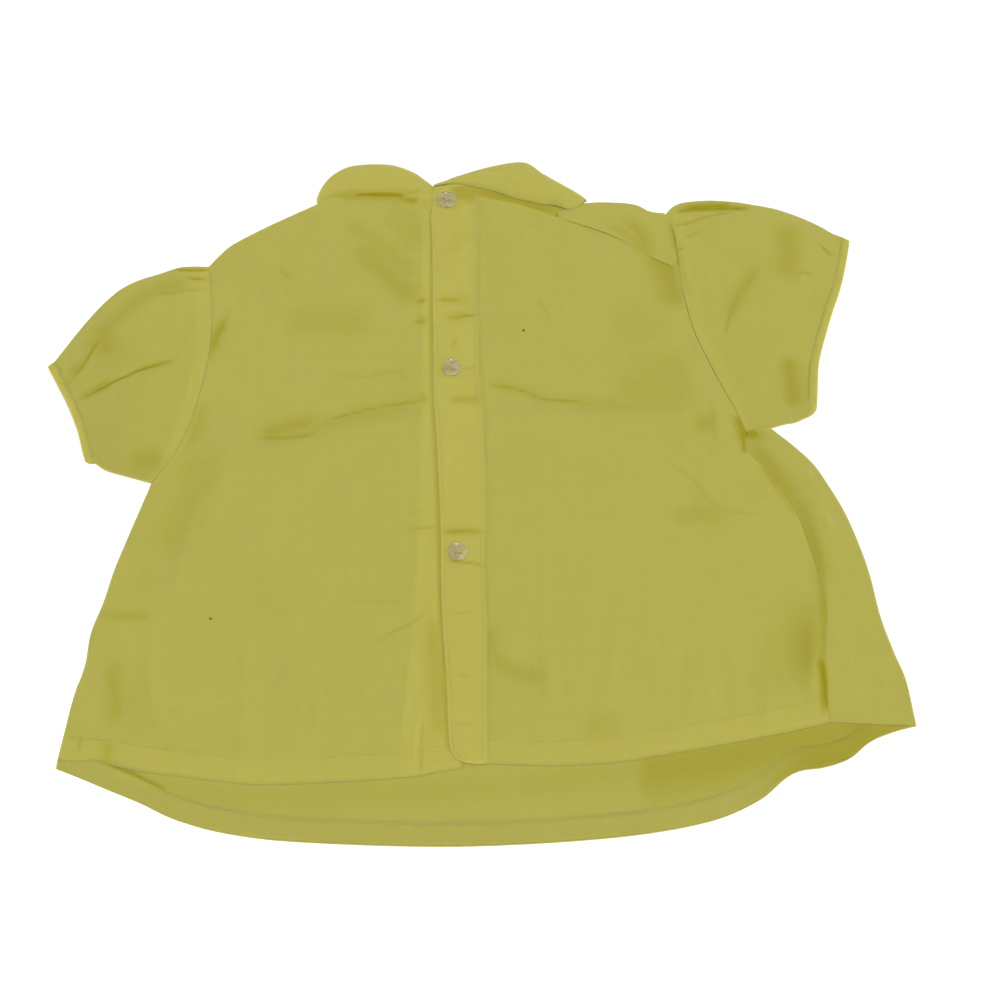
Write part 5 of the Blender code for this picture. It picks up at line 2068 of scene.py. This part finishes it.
COLLAR_RIGHT = Collar(
    "collar_right",
    lines=(
        Curve(((-35.9, 184.6, 2.8), (-24, 184, 2.8), (-12, 182, 2.2), (-6, 179.8, 1.8),
               (0, 178.2, 1.8), (8, 176.2, 1.8), (20, 171.6, 1.6), (27, 168.6, 1.4),
               (34, 172, 1), (44, 178.4, 1))),
        Curve(((-35.9, 187.2, 3.6), (-24, 187.2, 3.6), (-12, 185.4, 3.1), (-6, 183.6, 2.7),
               (0, 182, 2.6), (8, 179.8, 2.5), (20, 175.4, 2.4), (28, 172.2, 2.2),
               (35, 174.6, 1.4), (44.6, 179.2, 1.6))),
        Curve(((-35.9, 189.2, 3.6), (-29, 190.6, 3.6), (-20, 192, 3.3), (-8, 190.4, 2.9),
               (4, 187.6, 2.7), (15, 184.2, 2.6), (24, 181.2, 2.4), (33, 179.4, 2),
               (45.2, 180.2, 1.8))),
        Curve(((-35.8, 190.2, 2.6), (-29, 192, 2.4), (-20, 195, 1.9), (-8, 199.2, 1.4),
               (6, 202, 1.3), (14, 201.6, 1.3), (26, 192.4, 1.3), (37, 185.4, 1.4),
               (45.6, 180.8, 1.7))),
        Curve(((-35.8, 190.6, 2.2), (-29.8, 193, 2.1), (-23.4, 196.2, 1.9), (-9.8, 201.8, 1.7),
               (2.7, 205.3, 1.7), (12.3, 206.5, 1.7), (17.2, 204, 1.7), (21.7, 199.2, 1.8),
               (30.4, 193.1, 1.8), (40.4, 186.4, 1.8), (46.6, 181.2, 1.8))),
        Curve(((-35.8, 190.6, 3), (-29.8, 192.8, 3.2), (-23.4, 195.8, 3.3), (-9.8, 200.2, 3.2),
               (2.7, 202.6, 3.2), (12.3, 202.9, 3.3), (18, 201, 3.4), (22.5, 197.7, 3.6),
               (30.6, 191.9, 3.6), (40, 185.6, 3.2), (46.4, 181.1, 2.5))),
        Curve(((-35.8, 190.5, 3.3), (-29.8, 192.5, 3.6), (-23.2, 195.2, 3.9), (-11.4, 197.4, 4),
               (2.7, 198.6, 3.9), (12.5, 198.8, 4), (19.4, 197.7, 4.4), (23.7, 195.4, 4.5),
               (30.6, 190.7, 4.5), (39.4, 184.8, 4.1), (46, 181, 3))),
        Curve(((-35.8, 190.4, 3.5), (-29.6, 192.2, 3.8), (-22.8, 194.6, 4.2), (-11.4, 196.2, 4.8),
               (2.7, 197, 5), (12.5, 196.9, 5.1), (20, 195.6, 5.2), (24.7, 193.2, 5.2),
               (30.6, 189, 5.1), (39, 183.8, 4.6), (45.6, 180.7, 3.3))),
        Curve(((-35.8, 190.3, 3.6), (-29.5, 192, 3.9), (-22.2, 194, 4.2), (-10.4, 192.4, 4.7),
               (4, 190.6, 4.9), (14.5, 188, 4.9), (23, 186.2, 4.9), (27.7, 185.2, 4.9),
               (32, 182.8, 4.8), (38.8, 180.4, 4.4), (45.2, 180, 3.3))),
        Curve(((-35.8, 190.2, 3.2), (-29.4, 191.5, 3.3), (-21, 191.4, 3.3), (-13.5, 189.4, 3.2),
               (-2.7, 186.7, 3.1), (8.1, 182.5, 3), (21.6, 178.8, 2.9), (28, 178.2, 2.8),
               (32.6, 176.7, 2.9), (37.1, 174.6, 3.1), (41.6, 176, 3.2), (45, 179.4, 3))),
    ),
    stations=(0.0, 0.10, 0.18, 0.26, 0.33, 0.37, 0.40, 0.43, 0.46, 0.49, 0.52, 0.55, 0.58, 0.61,
              0.64, 0.67, 0.71, 0.76, 0.82, 0.88, 0.93, 0.97, 1),
    # Shade rows paint the shade on the stand, under the fall's free edge.
    folds=(
        shade(3.4, 0.9, (-16, 187), (-2, 184.4), (8, 181.4), (20, 177.4), (31, 174.6), fade=8),
        shade(6, 0.75, (-30, 188.2), (-12, 186.6), (0, 184.2), (10, 181), (34, 174.2), fade=8),
    ),
    shaded=0.30,
    steps=72,
    along=96,
)


# ---------------------------------------------------------------- buttons

@dataclass(frozen=True)
class Shell:
    """Clear pale shell with cloudy bands, as a button is cut from it."""

    name: str
    pale: Colour = (0.97, 0.92, 0.62)
    dark: Colour = (0.72, 0.64, 0.36)

    def made(self) -> Finish:
        """Makes the material.

        Returns:
            The material.
        """
        bench = Bench.of_material(self.name)
        bands = bench.noise(bench.place(), (150, 320, 200), 3.0)
        glints = bench.noise(bench.place(), (700, 900, 700), 2.0)
        colour = bench.mixed(bands.rising(0.3, 0.7), self.dark, self.pale)
        bench.feed(bench.shader.inputs["Base Color"], colour)
        bench.feed(bench.shader.inputs["Roughness"], 0.05 + glints * 0.14)
        bench.constants(IOR=1.5, Transmission_Weight=0.80, Coat_Weight=0.35, Coat_Roughness=0.05)
        bench.bump(bands + glints * 0.4, 0.12 * MM)
        return bench.holder


@dataclass(frozen=True)
class Button:
    """A shell button with a raised rim, a dished middle and four holes.

    The dish goes inwards from the rim in steps, each with its width and its rise.
    """

    name: str
    x: float
    y: float
    under: float = 4.5
    radius: float = 4.836
    height: float = 2.0
    hole: float = 0.62
    hole_reach: float = 1.3
    dish: Profile = ((0.95, 0.0), (0.35, -0.42), (0.8, -0.18), (1.2, -0.05))
    turned_edge: float = 0.42
    turned_steps: int = 4
    turned_from: float = math.radians(24)
    sharp: float = math.radians(40)
    sides: int = 56
    hole_sides: int = 14

    def build(self, finish: Finish) -> Piece:
        """Turns the button from a short rod, dishes it in steps inwards and drills it.

        Args:
            finish: Its material.

        Returns:
            The button.
        """
        unselected()
        bpy.ops.mesh.primitive_cylinder_add(
            vertices=self.sides, radius=self.radius * MM, depth=self.height * MM,
            location=(self.x * MM, self.y * MM, (self.under + self.height / 2) * MM))
        button = bpy.context.object
        button.name = self.name
        bpy.ops.object.mode_set(mode="EDIT")
        bpy.ops.mesh.select_mode(type="FACE")
        bpy.ops.mesh.select_all(action="DESELECT")
        shape = bmesh.from_edit_mesh(button.data)
        for face in shape.faces:
            face.select_set(face.normal.z > 0.9)
        bmesh.update_edit_mesh(button.data)
        for inwards, up in self.dish:
            bpy.ops.mesh.inset(thickness=inwards * MM, depth=up * MM)
        bpy.ops.object.mode_set(mode="OBJECT")
        soft = button.modifiers.new("turned", "BEVEL")
        soft.width, soft.segments = self.turned_edge * MM, self.turned_steps
        soft.limit_method, soft.angle_limit = "ANGLE", self.turned_from
        bpy.ops.object.modifier_apply(modifier=soft.name)
        for turn in range(4):
            angle = math.radians(45 + 90 * turn)
            reach = self.hole_reach * math.sqrt(2)
            unselected()
            bpy.ops.mesh.primitive_cylinder_add(
                vertices=self.hole_sides, radius=self.hole * MM, depth=3 * self.height * MM,
                location=((self.x + reach * math.cos(angle)) * MM,
                          (self.y + reach * math.sin(angle)) * MM, self.under * MM))
            drill = bpy.context.object
            bpy.context.view_layer.objects.active = button
            cut = button.modifiers.new("drilled", "BOOLEAN")
            cut.operation, cut.object, cut.solver = "DIFFERENCE", drill, "EXACT"
            bpy.ops.object.modifier_apply(modifier=cut.name)
            bpy.data.objects.remove(drill)
        unselected()
        button.select_set(True)
        bpy.context.view_layer.objects.active = button
        bpy.ops.object.transform_apply(location=True, rotation=True, scale=True)
        button.data.shade_smooth()
        button.data.set_sharp_from_angle(angle=self.sharp)
        return dress_piece(button, finish, "shell_button", self.name)


# ---------------------------------------------------------------- stitching

@dataclass(frozen=True)
class Stitch:
    """The thread of one seam: how long its stitches are, how far apart and how thick.

    Its middle stands over the cloth by lift, it goes over no step higher than step, and it sags
    at its ends by a share of its radius.
    """

    length: float = 1.9
    gap: float = 0.6
    radius: float = 0.12
    sides: int = 5
    taper: float = 0.25
    sag: float = 0.8
    lift: float = 0.01
    step: float = 1.0


class Thread:
    """Stitches collected into one piece.

    The cloth is felt for from ABOVE, over a distance of REACH, both in metres.
    """

    ABOVE = 0.05
    REACH = 0.1

    def __init__(self, name: str, kind: Stitch = Stitch()) -> None:
        """Starts an empty piece of stitching.

        Args:
            name: The piece's name.
            kind: Its kind of stitch.
        """
        self.name, self.kind = name, kind
        self.points: list[Array] = []
        self.faces: list[list[int]] = []

    def add(self, start: Array, end: Array) -> None:
        """Adds one stitch, tapered at both of its ends.

        Args:
            start: Where it comes out of the cloth.
            end: Where it goes in again.
        """
        run = (end - start) / (np.linalg.norm(end - start) + 1e-9)
        side = np.cross(run, (0, 0, 1.0))
        side /= np.linalg.norm(side) + 1e-9
        up = np.cross(side, run)
        count, base = self.kind.sides, len(self.points)
        taper = run * self.kind.taper * self.kind.length
        middle = [start + taper, end - taper]
        sag = np.array([0, 0, -self.kind.sag * self.kind.radius])
        self.points.append(start + sag)
        for place in middle:
            for turn in range(count):
                angle = 2 * math.pi * turn / count
                self.points.append(place + self.kind.radius
                                   * (side * math.cos(angle) + up * math.sin(angle)))
        self.points.append(end + sag)
        last = len(self.points) - 1
        for turn in range(count):
            after = (turn + 1) % count
            near, far = base + 1 + turn, base + 1 + after
            self.faces.append([base, near, far])
            self.faces.append([near, near + count, far + count, far])
            self.faces.append([near + count, last, far + count])

    def follow(self, line: Line, length: float, *under: Piece) -> None:
        """Sews along a line, on the top of what lies under it.

        Args:
            line: The line, read by the share of its length.
            length: Its length.
            under: The pieces that the stitches lie on.
        """
        trees = [BVHTree.FromPolygons([vertex.co[:] for vertex in piece.data.vertices],
                                      [face.vertices[:] for face in piece.data.polygons])
                 for piece in under]
        pitch = self.kind.length + self.kind.gap
        for index in range(int(length / pitch)):
            ends = []
            for reach in (index * pitch, index * pitch + self.kind.length):
                x, y = line(np.array(reach / length))[:2]
                above = Vector((x * MM, y * MM, self.ABOVE))
                hits = [tree.ray_cast(above, Vector((0, 0, -1)), self.REACH)[0] for tree in trees]
                heights = [hit.z / MM for hit in hits if hit is not None]
                if heights:
                    ends.append(np.array([x, y, max(heights) + self.kind.lift]))
            if len(ends) == 2 and abs(ends[0][2] - ends[1][2]) < self.kind.step:
                self.add(*ends)

    def build(self, finish: Finish) -> Piece:
        """Makes the piece.

        Args:
            finish: Its material.

        Returns:
            The piece.
        """
        data = bpy.data.meshes.new(self.name)
        data.from_pydata((np.array(self.points) * MM).tolist(), [], self.faces)
        data.validate()
        data.shade_smooth()
        return dress_piece(linked(self.name, data), finish, "cotton")


def sewn_along(name: str, finish: Finish, piece: Piece, *lines: Curve) -> Piece:
    """Makes the stitches on one piece.

    Args:
        name: Their name.
        finish: Their material.
        piece: What they are sewn on.
        lines: The lines that they follow.

    Returns:
        The stitches.
    """
    thread = Thread(name)
    for line in lines:
        thread.follow(line, line.length, piece)
    return thread.build(finish)


def button_threads(finish: Finish, buttons: Sequence[Button]) -> Piece:
    """Makes the crossed threads in the holes of every button.

    Args:
        finish: Their material.
        buttons: The buttons.

    Returns:
        The threads, as one piece.
    """
    thread = Thread("button_threads", Stitch(length=3.2, radius=0.24, sides=6))
    for button in buttons:
        for order, slant in enumerate((1.0, -1.0)):
            level = button.under + button.height - 0.62 + 0.2 * order
            reach = button.hole_reach
            thread.add(np.array([button.x - reach, button.y - slant * reach, level]),
                       np.array([button.x + reach, button.y + slant * reach, level]))
    return thread.build(finish)


@dataclass(frozen=True)
class Cut:
    """What a piece is cut from: a rectangle of cloth, and how much of it the cut keeps."""

    width: float
    length: float
    area: float
    held: str
    rests_on: str

    def declare(self, piece: Piece, *on_it: Piece) -> None:
        """Takes the piece and what is sewn on it, and does nothing with them."""


CUTS = {
    "front": Cut(0.460, 0.400, 0.1151, "folded", "table"),
    "front_hem": Cut(0.415, 0.012, 0.00498, "laid", "front"),
    "back_left": Cut(0.197, 0.339, 0.0521, "laid", "front"),
    "back_right": Cut(0.171, 0.329, 0.0415, "laid", "front"),
    "button_band": Cut(0.026, 0.328, 0.0075, "folded", "back_left"),
    "sleeve_left": Cut(0.266, 0.079, 0.0143, "gathered", "table"),
    "sleeve_right": Cut(0.286, 0.092, 0.0176, "gathered", "table"),
    "cuff_left": Cut(0.128, 0.010, 0.000576, "folded", "sleeve_left"),
    "cuff_right": Cut(0.222, 0.010, 0.000999, "folded", "sleeve_right"),
    "collar_left": Cut(0.066, 0.040, 0.00106, "folded", "back_left"),
    "collar_right": Cut(0.088, 0.046, 0.00241, "folded", "back_right"),
}


def main() -> None:
    """Builds the dress piece by piece."""
    logging.basicConfig(level=logging.INFO, format="%(message)s")
    Studio().build()
    cotton = Cotton("cotton").made()
    back_cotton = Cotton("cotton_back", specks=((12.3, 98.2), (-140.2, -66.6))).made()
    shell = Shell("shell").made()
    front, front_hem = Front().build(cotton), FrontHem().build(cotton)
    back_left, back_right = BackLeft().build(back_cotton), BackRight().build(back_cotton)
    band = ButtonBand().build(back_cotton)
    buttons = [Button("button_top", -28.6, 179.8), Button("button_middle", -24.8, 74.3),
               Button("button_bottom", -20.7, -31.5)]
    for button in buttons:
        button.build(shell)
    CUTS["front"].declare(front)
    for name, piece, hem, inwards in (("front_hem", front_hem, Front.hem_line, 10.6),
                                      ("back_left", back_left, HEM_BACK_LEFT, 12.0),
                                      ("back_right", back_right, HEM_BACK_RIGHT, 11.6)):
        CUTS[name].declare(piece, sewn_along(f"{name}_stitches", cotton, piece,
                                             beside(hem, inwards, 60)))
    CUTS["button_band"].declare(
        band, sewn_along("button_band_stitches", cotton, band, beside(BAND_EDGE, -1.7, 90),
                         beside(BAND_SEAM, 2.6, 60)),
        button_threads(cotton, buttons))
    for sleeve in (SLEEVE_LEFT, SLEEVE_RIGHT):
        CUTS[sleeve.name].declare(sleeve.build(cotton))
        cuff = sleeve.binding(cotton)
        CUTS[f"cuff_{sleeve.side}"].declare(cuff, sewn_along(
            f"cuff_{sleeve.side}_stitches", cotton, cuff,
            beside(sleeve.cuff, sleeve.outward * sleeve.cuff_seam)))
    for collar in (COLLAR_LEFT, COLLAR_RIGHT):
        CUTS[collar.name].declare(collar.build(cotton))


if __name__ == "__main__":
    main()
